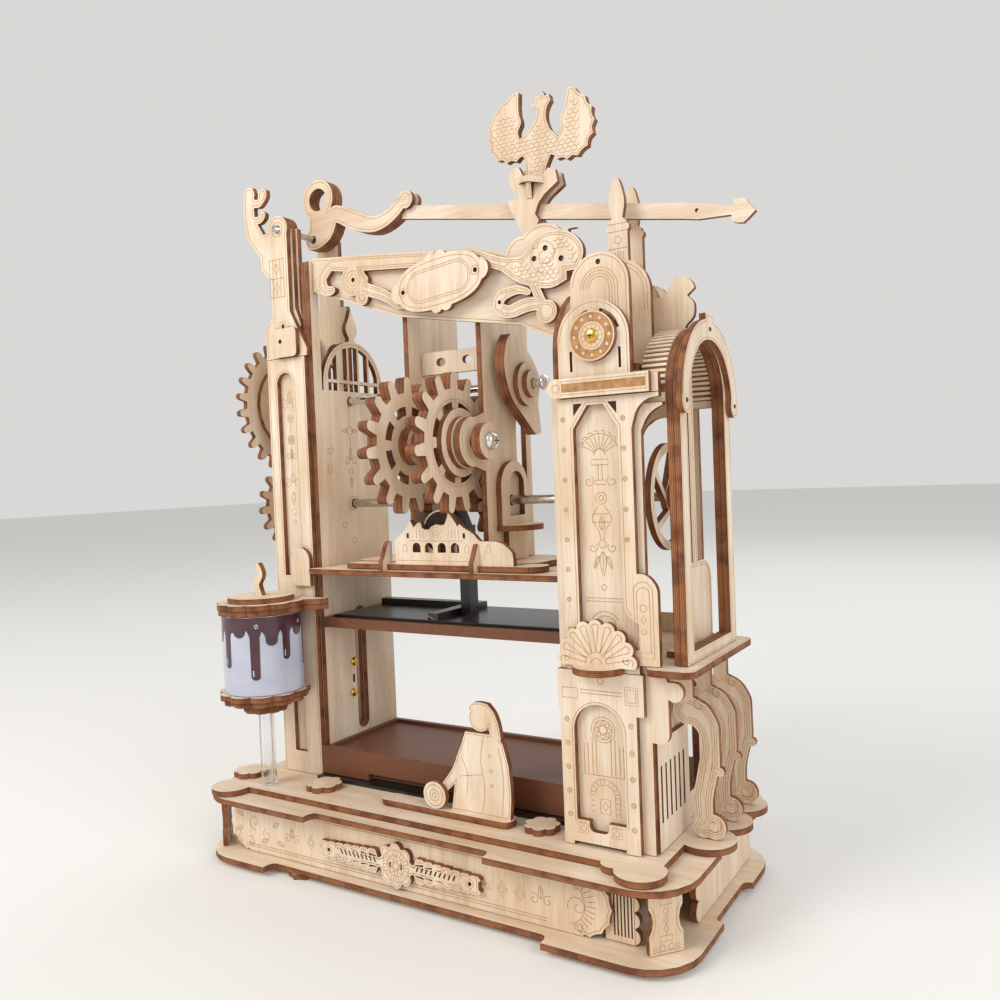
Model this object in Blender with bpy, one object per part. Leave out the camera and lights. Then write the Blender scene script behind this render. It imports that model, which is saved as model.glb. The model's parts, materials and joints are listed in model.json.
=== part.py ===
"""Wooden printing press model, an assembly of laser cut plywood sheets with metal rods and plastic trays.

X runs to the right along the base, Y to the back and Z up. Sizes are measured from the middle of the base,
and the whole model then moves so that its origin lies under the middle of its overall outline, on the
surface that it stands on. All lengths are in metres.
"""
import math

import bmesh
import bpy
from mathutils import Vector
from mathutils.geometry import delaunay_2d_cdt

# Sheet stock and clearances
PLY = 0.0025
GAP = 0.0003
RUN = 0.0006
ROD_FIT = 0.0004
WELD = 0.0001
STEP = PLY + GAP
GLUED = PLY - WELD

# Base
BASE_LEFT = -0.1185
BASE_RIGHT = 0.1185
BASE_FRONT = -0.058
BASE_BACK = 0.059
BASE_CORNER = 0.020
FOOT_RADIUS = 0.007
FOOT_INSET = 0.012
SKIRT_HEIGHT = 0.0237
RECESS_DEPTH = 0.0058
LOWER_RECESS_LEFT = -0.0755
LOWER_RECESS_RIGHT = 0.0648
UPPER_RECESS_LEFT = -0.050
UPPER_RECESS_RIGHT = 0.041
SIDE_NOTCH_FRONT = -0.014
SIDE_NOTCH_BACK = 0.023
SIDE_NOTCH_DEPTH = 0.0035
FASCIA_LEFT = -0.107
FASCIA_RIGHT = 0.0887
FASCIA_FRONT = -0.047
SLAT_PANEL_RIGHT = 0.0985
SLAT_COUNT = 5
SLAT_GAP = 0.0012
ROSETTE_X = -0.0074
ROSETTE_RADIUS = 0.0095
WING_SPAN = 0.0405
FEATHER_COUNT = 7
SIDE_PANEL_X = 0.108
SIDE_PANEL_FRONT = -0.021
SIDE_PANEL_BACK = 0.0443
MOULDING_LEFT = -0.106
MOULDING_RIGHT = 0.1065
MOULDING_FRONT = -0.0468
MOULDING_BACK = 0.052
EAR_RADIUS = 0.0095
LOBE_RADIUS = 0.011

# Left tower
LT_LEFT = -0.0975
LT_INNER = -0.0705
LT_FRONT = -0.020
LT_BACK = 0.034
LT_SHOULDER = 0.248
LT_OPENING_LEFT = -0.0916
LT_OPENING_RIGHT = -0.0810
LT_OPENING_BOTTOM = 0.130
LT_OPENING_MARGIN = 0.017
WINDOW_BOTTOM = 0.218
WINDOW_TOP = 0.243
WINDOW_BAR = 0.0016
WALL_SILL = 0.205

# Lever
LEVER_Y = 0.0082
LEVER_X = -0.087
POST_RISE = 0.047
LEVER_ROD = 0.0030
LEVER_RING_OFFSET = 0.004
LEVER_RING_RISE = 0.019
LEVER_RING_RADIUS = 0.0098
LEVER_RING_HOLE = 0.0055
BAR_START_X = -0.0289
BAR_START_RISE = 0.0043
BAR_END_X = 0.1325
BAR_END_DROP = 0.0255
BAR_HEIGHT = 0.0062
BIRD_X = 0.0371
BIRD_TILT = 8.5

# Shafts, all running along X
DRIVE_Y = 0.0082
DRIVE_Z = 0.163
DRIVE_ROD = 0.004
DRIVE_LEFT = -0.1165
DRIVE_RIGHT = 0.0985
CAM_LIFT = 0.0505
DRIVE_TEETH = 15
CAM_TEETH = 24
CAM_ROD = 0.004
PRESS_BACK = 0.0292
PRESS_LIFT = 0.0255
PRESS_TEETH = 15
PRESS_PINION_TEETH = 7
PRESS_ROD = 0.005
TRAIN_X = -0.1148
HAND_WHEEL_X = 0.0925
HAND_WHEEL_RADIUS = 0.0215

# Centre
CENTRE_HALF = 0.018
CENTRE_FRONT = -0.0122
CENTRE_BACK = 0.027
CENTRE_TOP = 0.2550
LOBE_PLATE_RADIUS = 0.0105
GEAR_INSET = 0.0053
RIGHT_GEAR_X = 0.0070

# Deck between the towers
DECK_LEFT = -0.0730
DECK_FRONT = -0.024
DECK_BOTTOM = 0.1313
DECK_BACK = 0.034
BOARD_LEFT = -0.0580
BOARD_RIGHT = 0.0400
BOARD_FRONT = -0.0090
FACADE_Y = -0.0200
FACADE_LEFT = -0.0225
FACADE_RIGHT = 0.0135
DOME_X = -0.0040
DOME_RADIUS = 0.0115
DOME_TOP = 0.159

# Printing bay
BED_TOP = 0.0495
BED_BASE = 0.0013
PLATEN_BOTTOM = 0.106
PLATEN_HEIGHT = 0.0045
PLATEN_FRONT = -0.0195
PLATEN_STROKE = 0.053
GUIDE_PIN = 0.0072
GUIDE_FIT = 0.0004
GUIDE_LENGTH = 0.0055
TRAY_WALL = 0.0025
TRAY_DEPTH = 0.0015

# Right tower
RT_LEFT = 0.0653
RT_FRONT = -0.038
RT_BACK = 0.034
RT_SIDE = 0.0972
DOOR_TOP = 0.1008
LEDGE_BOTTOM = 0.1015
LEDGE_RIGHT = 0.1196
LEDGE_FRONT = -0.042
LEDGE_BACK = 0.0305
FRAME_LEFT = 0.0695
FRAME_RIGHT = 0.0987
FRAME_TOP = 0.2080
UPPER_FRAME_TOP = 0.2012
CLOCK_X = 0.0845
CLOCK_Z = 0.223
CLOCK_RADIUS = 0.009
CLOCK_FRAME_TOP = 0.2365
SHELL_X = 0.083
SHELL_RADIUS = 0.016
PAVILION_X = 0.1126
PAVILION_FRONT = -0.0334
PAVILION_BACK = 0.0230
PAVILION_SPRING = 0.198
PAVILION_POST = 0.0070
PORCH_LEFT = 0.0995
SCROLL_FRONT = -0.012
SCROLL_PITCH = 0.0205
SCROLL_COUNT = 3
FINIAL_TOP = 0.2910
FINIAL_X = 0.0795
TOP_ARCH_LEFT = 0.0705
TOP_ARCH_RIGHT = 0.0972
TOP_ARCH_HEIGHT = 0.2565

# Ink bucket
BUCKET_X = -0.089
BUCKET_Y = -0.0390
BUCKET_RADIUS = 0.0180
BUCKET_HEIGHT = 0.0355
BUCKET_BOTTOM = 0.0797
BUCKET_WALL = 0.0012

# Heights that follow from the stack of sheets
LOWER_PLATE_Z = GLUED
SKIRT_Z = LOWER_PLATE_Z + STEP
UPPER_PLATE_Z = SKIRT_Z + SKIRT_HEIGHT + GAP
MOULDING_Z = UPPER_PLATE_Z + STEP
FLOOR = MOULDING_Z + STEP
SKIRT_MIDDLE = SKIRT_Z + SKIRT_HEIGHT / 2
CAM_Y = DRIVE_Y
CAM_Z = DRIVE_Z + CAM_LIFT
LT_OPENING_TOP = LT_SHOULDER - LT_OPENING_MARGIN
LEVER_Z = LT_SHOULDER + POST_RISE
LEVER_RING_X = LEVER_X + LEVER_RING_OFFSET
LEVER_RING_Z = LEVER_Z + LEVER_RING_RISE
BAR_START_Z = LEVER_Z + BAR_START_RISE
BAR_END_Z = LEVER_Z - BAR_END_DROP
PRESS_Y = DRIVE_Y - PRESS_BACK
PRESS_Z = DRIVE_Z + PRESS_LIFT

# Middle of the overall outline, from the base's left edge to the tip of the lever
ORIGIN_X = (BASE_LEFT + BAR_END_X) / 2

# Finishes as colour, roughness and metallic value
BIRCH = ((0.76, 0.60, 0.42), 0.62, 0.0)
BROWN_PLASTIC = ((0.19, 0.07, 0.04), 0.38, 0.0)
BLACK_PLASTIC = ((0.02, 0.018, 0.018), 0.35, 0.0)
STEEL = ((0.62, 0.60, 0.58), 0.28, 1.0)
CHROME = ((0.85, 0.85, 0.86), 0.08, 1.0)
BRASS = ((0.78, 0.55, 0.20), 0.25, 1.0)
BUCKET_WHITE = ((0.72, 0.74, 0.84), 0.35, 0.0)
ACRYLIC = ((0.80, 0.84, 0.86), 0.08, 0.0)


def rect(a0, a1, b0, b1):
    """Rectangle between two corners."""
    return [(a0, b0), (a1, b0), (a1, b1), (a0, b1)]


def arc(a, b, radius, start, end, steps):
    """Points on an arc, angles in degrees."""
    points = []
    for i in range(steps + 1):
        angle = math.radians(start + (end - start) * i / steps)
        points.append((a + radius * math.cos(angle), b + radius * math.sin(angle)))
    return points


def circle(a, b, radius, steps=12):
    """Closed round outline."""
    return arc(a, b, radius, 0, 360, steps)[:-1]


def arch(a0, a1, b0, b1, steps=8):
    """Opening with a half round head that reaches b1."""
    radius = (a1 - a0) / 2
    return [(a0, b0), (a1, b0)] + arc(a0 + radius, b1 - radius, radius, 0, 180, steps)


def rounded(a0, a1, b0, b1, radius, steps=3):
    """Rectangle with round corners."""
    points = arc(a1 - radius, b0 + radius, radius, -90, 0, steps)
    points += arc(a1 - radius, b1 - radius, radius, 0, 90, steps)
    points += arc(a0 + radius, b1 - radius, radius, 90, 180, steps)
    points += arc(a0 + radius, b0 + radius, radius, 180, 270, steps)
    return points


def scallop(a, b, radius, lobes, depth, steps=3):
    """Round outline with outward lobes."""
    points = []
    for i in range(lobes * steps):
        angle = 2 * math.pi * i / (lobes * steps)
        reach = radius - depth * (1 - abs(math.cos(lobes * angle / 2)))
        points.append((a + reach * math.cos(angle), b + reach * math.sin(angle)))
    return points


def spline(points, steps, closed):
    """Catmull-Rom curve through the points."""
    count = len(points)
    spans = count if closed else count - 1
    result = []
    for i in range(spans):
        p1 = points[i]
        p2 = points[(i + 1) % count]
        p0 = points[i - 1] if closed or i > 0 else p1
        p3 = points[(i + 2) % count] if closed or i + 2 < count else p2
        for k in range(steps):
            t = k / steps
            point = []
            for c0, c1, c2, c3 in zip(p0, p1, p2, p3):
                value = 2 * c1 + (c2 - c0) * t + (2 * c0 - 5 * c1 + 4 * c2 - c3) * t * t
                value += (3 * c1 - c0 - 3 * c2 + c3) * t ** 3
                point.append(value / 2)
            result.append(tuple(point))
    if not closed:
        result.append(tuple(points[-1]))
    return result


def blob(points, steps=3):
    """Closed smooth outline through the points."""
    return spline(points, steps, True)


def band(points, steps=4):
    """Strip that follows a smooth line through (a, b, width) points, with round ends."""
    line = spline(points, steps, False)
    left = []
    right = []
    for i, (a, b, width) in enumerate(line):
        before = line[max(i - 1, 0)]
        after = line[min(i + 1, len(line) - 1)]
        angle = math.atan2(after[1] - before[1], after[0] - before[0])
        left.append((a - math.sin(angle) * width / 2, b + math.cos(angle) * width / 2))
        right.append((a + math.sin(angle) * width / 2, b - math.cos(angle) * width / 2))
    first = line[0]
    last = line[-1]
    start = math.degrees(math.atan2(line[1][1] - first[1], line[1][0] - first[0]))
    end = math.degrees(math.atan2(last[1] - line[-2][1], last[0] - line[-2][0]))
    nose = arc(last[0], last[1], last[2] / 2, end - 90, end + 90, 3)[1:-1]
    tail = arc(first[0], first[1], first[2] / 2, start + 90, start + 270, 3)[1:-1]
    return right + nose + left[::-1] + tail


def spiral(a, b, inner, outer, start, end, width0, width1, steps=10):
    """Scroll that winds out from its eye, angles in degrees."""
    points = []
    for i in range(steps + 1):
        t = i / steps
        angle = math.radians(start + (end - start) * t)
        radius = inner + (outer - inner) * t
        width = width0 + (width1 - width0) * t
        points.append((a + radius * math.cos(angle), b + radius * math.sin(angle), width))
    return band(points, 2)


def shifted(outline, da, db):
    """Outline moved in its plane."""
    return [(a + da, b + db) for a, b in outline]


def flipped(outline, middle):
    """Outline mirrored about a line square to its first axis."""
    return [(2 * middle - a, b) for a, b in outline]


def turned_about(outline, a, b, degrees):
    """Outline turned about a point in its plane."""
    cosine = math.cos(math.radians(degrees))
    sine = math.sin(math.radians(degrees))
    result = []
    for p, q in outline:
        result.append((a + (p - a) * cosine - (q - b) * sine, b + (p - a) * sine + (q - b) * cosine))
    return result


def finger_gear(a, b, teeth, module, fill, tip, root, phase=0.0):
    """Gear with round finger teeth. Fill is the share of the pitch that a tooth takes at the pitch line."""
    pitch_radius = module * teeth / 2
    sector = 360 / teeth
    outline = []
    for i in range(teeth):
        middle = phase + sector * i
        rows = []
        for side in (-1, 1):
            half = [
                (pitch_radius - root * module, side * 0.5 * (fill + 0.14)),
                (pitch_radius + 0.45 * tip * module, side * 0.5 * (fill - 0.05)),
                (pitch_radius + 0.84 * tip * module, side * 0.5 * (fill - 0.17)),
            ]
            rows += half if side < 0 else [(pitch_radius + tip * module, 0.0)] + half[::-1]
        for radius, share in rows:
            angle = math.radians(middle + sector * share)
            outline.append((a + radius * math.cos(angle), b + radius * math.sin(angle)))
    return outline


def wound_forward(outline):
    """Outline with its points in counter-clockwise order."""
    area = 0.0
    for (a0, b0), (a1, b1) in zip(outline, outline[1:] + outline[:1]):
        area += a0 * b1 - a1 * b0
    return outline if area > 0 else outline[::-1]


def lift(face, a, b, depth):
    """Point in space of a point on a front, side or flat sheet."""
    if face == "front":
        return (a, depth, b)
    if face == "side":
        return (depth, a, b)
    return (a, b, depth)


def sheet(face, at, shapes, cuts=(), thick=PLY):
    """Sheet with the joined outline of its shapes, less its cuts, from at to at plus thick."""
    loops = [wound_forward(list(outline)) for outline in list(shapes) + list(cuts)]
    points = []
    faces = []
    for outline in loops:
        faces.append(list(range(len(points), len(points) + len(outline))))
        points += [Vector((a * 1000, b * 1000)) for a, b in outline]
    flat, _, triangles, _, _, sources = delaunay_2d_cdt(points, [], faces, 1, 1e-5)
    kept = bmesh.new()
    corners = [kept.verts.new((p.x / 1000, p.y / 1000, 0)) for p in flat]
    for triangle, source in zip(triangles, sources):
        inside = any(i < len(shapes) for i in source)
        removed = any(i >= len(shapes) for i in source)
        if inside and not removed:
            kept.faces.new([corners[i] for i in triangle])
    loose = [v for v in kept.verts if not v.link_faces]
    bmesh.ops.delete(kept, geom=loose, context="VERTS")
    bmesh.ops.dissolve_limit(kept, angle_limit=0.13, verts=kept.verts, edges=kept.edges)
    ends = bmesh.ops.extrude_face_region(kept, geom=kept.faces[:])
    moved = [item for item in ends["geom"] if isinstance(item, bmesh.types.BMVert)]
    for vertex in kept.verts:
        vertex.co = Vector(lift(face, vertex.co.x, vertex.co.y, at))
    step = Vector(lift(face, 0, 0, thick))
    bmesh.ops.translate(kept, verts=moved, vec=step)
    bmesh.ops.recalc_face_normals(kept, faces=kept.faces[:])
    return kept


def rod(face, a, b, diameter, start, end, steps=12):
    """Round bar square to the given face."""
    return sheet(face, start, [circle(a, b, diameter / 2, steps)], thick=end - start)


def turned(face, a, b, profile, steps=14):
    """Solid of revolution about a line square to the face, from (radius, depth) pairs."""
    solid = bmesh.new()
    rings = []
    for radius, depth in profile:
        if radius <= 0:
            rings.append([solid.verts.new(lift(face, a, b, depth))])
            continue
        ring = [solid.verts.new(lift(face, p, q, depth)) for p, q in circle(a, b, radius, steps)]
        rings.append(ring)
    if len(rings[0]) > 1:
        solid.faces.new(rings[0])
    if len(rings[-1]) > 1:
        solid.faces.new(rings[-1])
    for first, second in zip(rings, rings[1:]):
        for i in range(steps):
            k = (i + 1) % steps
            corners = [first[i % len(first)], first[k % len(first)]]
            corners += [second[k % len(second)], second[i % len(second)]]
            unique = list(dict.fromkeys(corners))
            solid.faces.new(unique)
    bmesh.ops.recalc_face_normals(solid, faces=solid.faces[:])
    return solid


def swung(solid, a, b, degrees):
    """Solid turned about an upright line."""
    cosine = math.cos(math.radians(degrees))
    sine = math.sin(math.radians(degrees))
    for vertex in solid.verts:
        x = vertex.co.x - a
        y = vertex.co.y - b
        vertex.co.x = a + x * cosine - y * sine
        vertex.co.y = b + x * sine + y * cosine
    return solid


def tilted(solid, x, z, degrees):
    """Solid turned to the right about a line along Y."""
    cosine = math.cos(math.radians(degrees))
    sine = math.sin(math.radians(degrees))
    for vertex in solid.verts:
        a = vertex.co.x - x
        b = vertex.co.z - z
        vertex.co.x = x + a * cosine + b * sine
        vertex.co.z = z - a * sine + b * cosine
    return solid


def frilled(points, depth):
    """Smooth line through the points with every second point pushed out to its left."""
    line = spline(points, 2, False)
    result = []
    for i, (a, b) in enumerate(line):
        before = line[max(i - 1, 0)]
        after = line[min(i + 1, len(line) - 1)]
        angle = math.atan2(after[1] - before[1], after[0] - before[0])
        push = depth if i % 2 else 0
        result.append((a - push * math.sin(angle), b + push * math.cos(angle)))
    return result


def make_material(name, finish):
    """Principled material of one piece."""
    colour, roughness, metallic = finish
    material = bpy.data.materials.new(name)
    material.use_nodes = True
    shader = material.node_tree.nodes["Principled BSDF"]
    shader.inputs["Base Color"].default_value = (*colour, 1)
    shader.inputs["Roughness"].default_value = roughness
    shader.inputs["Metallic"].default_value = metallic
    material.diffuse_color = (*colour, 1)
    return material


def mesh_object(name, solid, origin, finish):
    """Object made from one solid, with its vertices measured from the origin."""
    bmesh.ops.translate(solid, verts=solid.verts, vec=-origin)
    mesh = bpy.data.meshes.new(name)
    solid.to_mesh(mesh)
    solid.free()
    mesh.materials.append(make_material(name, finish))
    obj = bpy.data.objects.new(name, mesh)
    bpy.context.collection.objects.link(obj)
    return obj


def combine(obj, name, solid, operation, parent=None):
    """Join a solid to an object, or cut it away, by a helper that stays out of renders."""
    origin = Vector(parent.location) if parent else Vector((0, 0, 0))
    helper = mesh_object(name, solid, origin, BIRCH)
    helper.parent = parent
    helper.hide_render = True
    helper.display_type = "WIRE"
    modifier = obj.modifiers.new(name, "BOOLEAN")
    modifier.operation = operation
    modifier.solver = "EXACT"
    modifier.object = helper


def piece(name, finish, solids, parent=None, round_faces=False):
    """One object from a sheet and what is glued to it, with its origin on its parent's."""
    origin = Vector(parent.location) if parent else Vector((0, 0, 0))
    obj = mesh_object(name, solids[0], origin, finish)
    obj.parent = parent
    if round_faces:
        obj.data.shade_smooth()
        obj.data.set_sharp_from_angle(angle=math.radians(35))
    for number, solid in enumerate(solids[1:], 1):
        combine(obj, f"{name}_layer_{number}", solid, "UNION", parent)
    return obj


def joint_axis(name, x, y, z):
    """Empty on the axis of a moving group."""
    empty = bpy.data.objects.new(name, None)
    empty.location = (x, y, z)
    empty.empty_display_size = 0.02
    bpy.context.collection.objects.link(empty)
    return empty


def clear_scene():
    """Remove what the scene holds."""
    for obj in list(bpy.data.objects):
        bpy.data.objects.remove(obj, do_unlink=True)


def base_outline(recess_left, recess_right):
    """Outline of the two large base plates with their front recess and side notches."""
    outline = [rounded(BASE_LEFT, BASE_RIGHT, BASE_FRONT, BASE_BACK, BASE_CORNER, 5)]
    far = 0.01
    cuts = [rounded(recess_left, recess_right, BASE_FRONT - far, BASE_FRONT + RECESS_DEPTH, 0.003, 2)]
    notch = rounded(BASE_RIGHT - SIDE_NOTCH_DEPTH, BASE_RIGHT + far, SIDE_NOTCH_FRONT, SIDE_NOTCH_BACK,
                    0.003, 2)
    cuts += [notch, flipped(notch, 0)]
    return outline, cuts


def build_base():
    """Plinth made of three plates, feet, front fascia and side panels."""
    feet = []
    for x, y in ((-0.062, 1), (0.072, 1), (-0.062, -1), (0.072, -1)):
        row = BASE_FRONT + FOOT_INSET if y > 0 else BASE_BACK - FOOT_INSET
        feet.append(sheet("flat", 0, [scallop(x, row, FOOT_RADIUS, 8, 0.001, 2)]))
    for side in (BASE_LEFT + FOOT_INSET, BASE_RIGHT - FOOT_INSET):
        feet.append(sheet("flat", 0, [scallop(side, -0.015, FOOT_RADIUS, 8, 0.001, 2)]))
    discs = []
    for x in (-0.0655, 0.0530):
        discs.append(sheet("flat", MOULDING_Z + GLUED, [scallop(x, DECK_FRONT - 0.0075, 0.0068, 7, 0.0014)]))

    outline, cuts = base_outline(LOWER_RECESS_LEFT, LOWER_RECESS_RIGHT)
    piece("base_plate_lower", BIRCH, [sheet("flat", LOWER_PLATE_Z, outline, cuts)] + feet)
    outline, cuts = base_outline(UPPER_RECESS_LEFT, UPPER_RECESS_RIGHT)
    piece("base_plate_upper", BIRCH, [sheet("flat", UPPER_PLATE_Z, outline, cuts)])

    shapes = [rounded(MOULDING_LEFT, MOULDING_RIGHT, MOULDING_FRONT, MOULDING_BACK, 0.004, 2)]
    for x in (MOULDING_LEFT + 0.002, MOULDING_RIGHT - 0.006):
        shapes.append(circle(x, MOULDING_FRONT - 0.001, EAR_RADIUS, 18))
    shapes.append(circle(MOULDING_RIGHT - 0.0165, MOULDING_FRONT + 0.0015, 0.0055))
    for i in range(SCROLL_COUNT):
        shapes.append(circle(MOULDING_RIGHT + 0.0055, SCROLL_FRONT + PLY / 2 + SCROLL_PITCH * i,
                             LOBE_RADIUS, 18))
    piece("base_moulding_plate", BIRCH, [sheet("flat", MOULDING_Z, shapes)] + discs)

    half = SKIRT_HEIGHT / 2
    z0 = SKIRT_Z
    z1 = SKIRT_Z + SKIRT_HEIGHT
    shapes = [rect(FASCIA_LEFT + half, FASCIA_RIGHT - half, z0, z1)]
    for x in (FASCIA_LEFT + half, FASCIA_RIGHT - half):
        shapes.append(scallop(x, SKIRT_MIDDLE, half, 14, 0.0012))
    fascia = sheet("front", FASCIA_FRONT, shapes)

    shapes = [scallop(ROSETTE_X, SKIRT_MIDDLE - 0.0015, ROSETTE_RADIUS, 8, 0.0018, 4)]
    pitch = (WING_SPAN - ROSETTE_RADIUS) / FEATHER_COUNT
    wing = []
    for i in range(FEATHER_COUNT):
        x = ROSETTE_X + ROSETTE_RADIUS - 0.001 + pitch * i
        rise = 0.0038 - 0.0016 * i / FEATHER_COUNT
        z = SKIRT_MIDDLE - 0.0015
        for side in (-1, 1):
            middle = z + side * rise
            wing.append([(x, z), (x + 0.35 * pitch, middle - side * 0.0014),
                         (x + 1.3 * pitch, middle - side * 0.0008),
                         (x + 1.5 * pitch, middle), (x + 1.2 * pitch, middle + side * 0.0012),
                         (x + 0.5 * pitch, middle + side * 0.0012)])
    spine_end = ROSETTE_X + WING_SPAN
    wing.append(rect(ROSETTE_X, spine_end, SKIRT_MIDDLE - 0.0035, SKIRT_MIDDLE + 0.0005))
    shapes += wing
    shapes += [flipped(outline, ROSETTE_X) for outline in wing]
    cuts = [circle(ROSETTE_X + side * (WING_SPAN - 0.004), SKIRT_MIDDLE - 0.0015, 0.0009,
                   8) for side in (-1, 1)]
    rosette = sheet("front", FASCIA_FRONT - GLUED, shapes, cuts)

    left = FASCIA_RIGHT - 0.004
    shapes = [rect(left, SLAT_PANEL_RIGHT - 0.002, z0, z1)]
    for i in range(4):
        shapes.append(circle(SLAT_PANEL_RIGHT - 0.0032, z0 + (i + 0.5) * SKIRT_HEIGHT / 4,
                             SKIRT_HEIGHT / 8, 10))
    pitch = (SLAT_PANEL_RIGHT - 0.004 - FASCIA_RIGHT) / SLAT_COUNT
    cuts = []
    for i in range(SLAT_COUNT):
        x = FASCIA_RIGHT + 0.0004 + pitch * i
        cuts.append(rect(x, x + SLAT_GAP, z0 + 0.003, z1 - 0.003))
    piece("base_fascia", BIRCH, [fascia, rosette, sheet("front", FASCIA_FRONT + GLUED, shapes, cuts)])

    width = 0.0134
    waist = 0.0042
    for name, x, y, angle in (("right", 0.1037, -0.0493, 50.5), ("left", -0.1078, -0.0485, 129.5)):
        shapes = [rect(x, x + width, z0, z1)]
        cuts = []
        for side in (-1, 1):
            middle = x + width / 2 + side * (width / 2 + 0.0085 - waist / 2 + 0.0005)
            cuts.append(circle(middle, SKIRT_MIDDLE, 0.0085, 18))
        solid = sheet("front", y, shapes, cuts)
        piece("base_corner_bracket_" + name, BIRCH, [swung(solid, x, y, angle)])
    piece("base_corner_rod", STEEL, [rod("flat", -0.1030, -0.0380, 0.003, z0, z1)], round_faces=True)

    panels = []
    for at in (SIDE_PANEL_X, -SIDE_PANEL_X - PLY):
        shapes = [rect(SIDE_PANEL_FRONT + 0.004, SIDE_PANEL_BACK, z0, z1)]
        for i in range(3):
            shapes.append(circle(SIDE_PANEL_FRONT + 0.004, z0 + (i + 0.5) * SKIRT_HEIGHT / 3,
                                 SKIRT_HEIGHT / 6, 10))
        panels.append(sheet("side", at, shapes))
    edge = SIDE_PANEL_X + PLY
    panels.append(sheet("front", SIDE_PANEL_BACK - WELD, [rect(-edge, edge, z0, z1)]))
    piece("base_skirt", BIRCH, [panels[2], panels[0], panels[1]])


def guide_slot():
    """Slot in the bay walls that the platen's guide pins run in."""
    radius = GUIDE_PIN / 2 + GUIDE_FIT
    top = PLATEN_BOTTOM + PLATEN_HEIGHT / 2 + radius
    bottom = top - 2 * radius - PLATEN_STROKE
    middle = DRIVE_Y
    outline = arc(middle, bottom + radius, radius, 180, 360, 8)
    outline += arc(middle, top - radius, radius, 0, 180, 8)
    return outline


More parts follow.
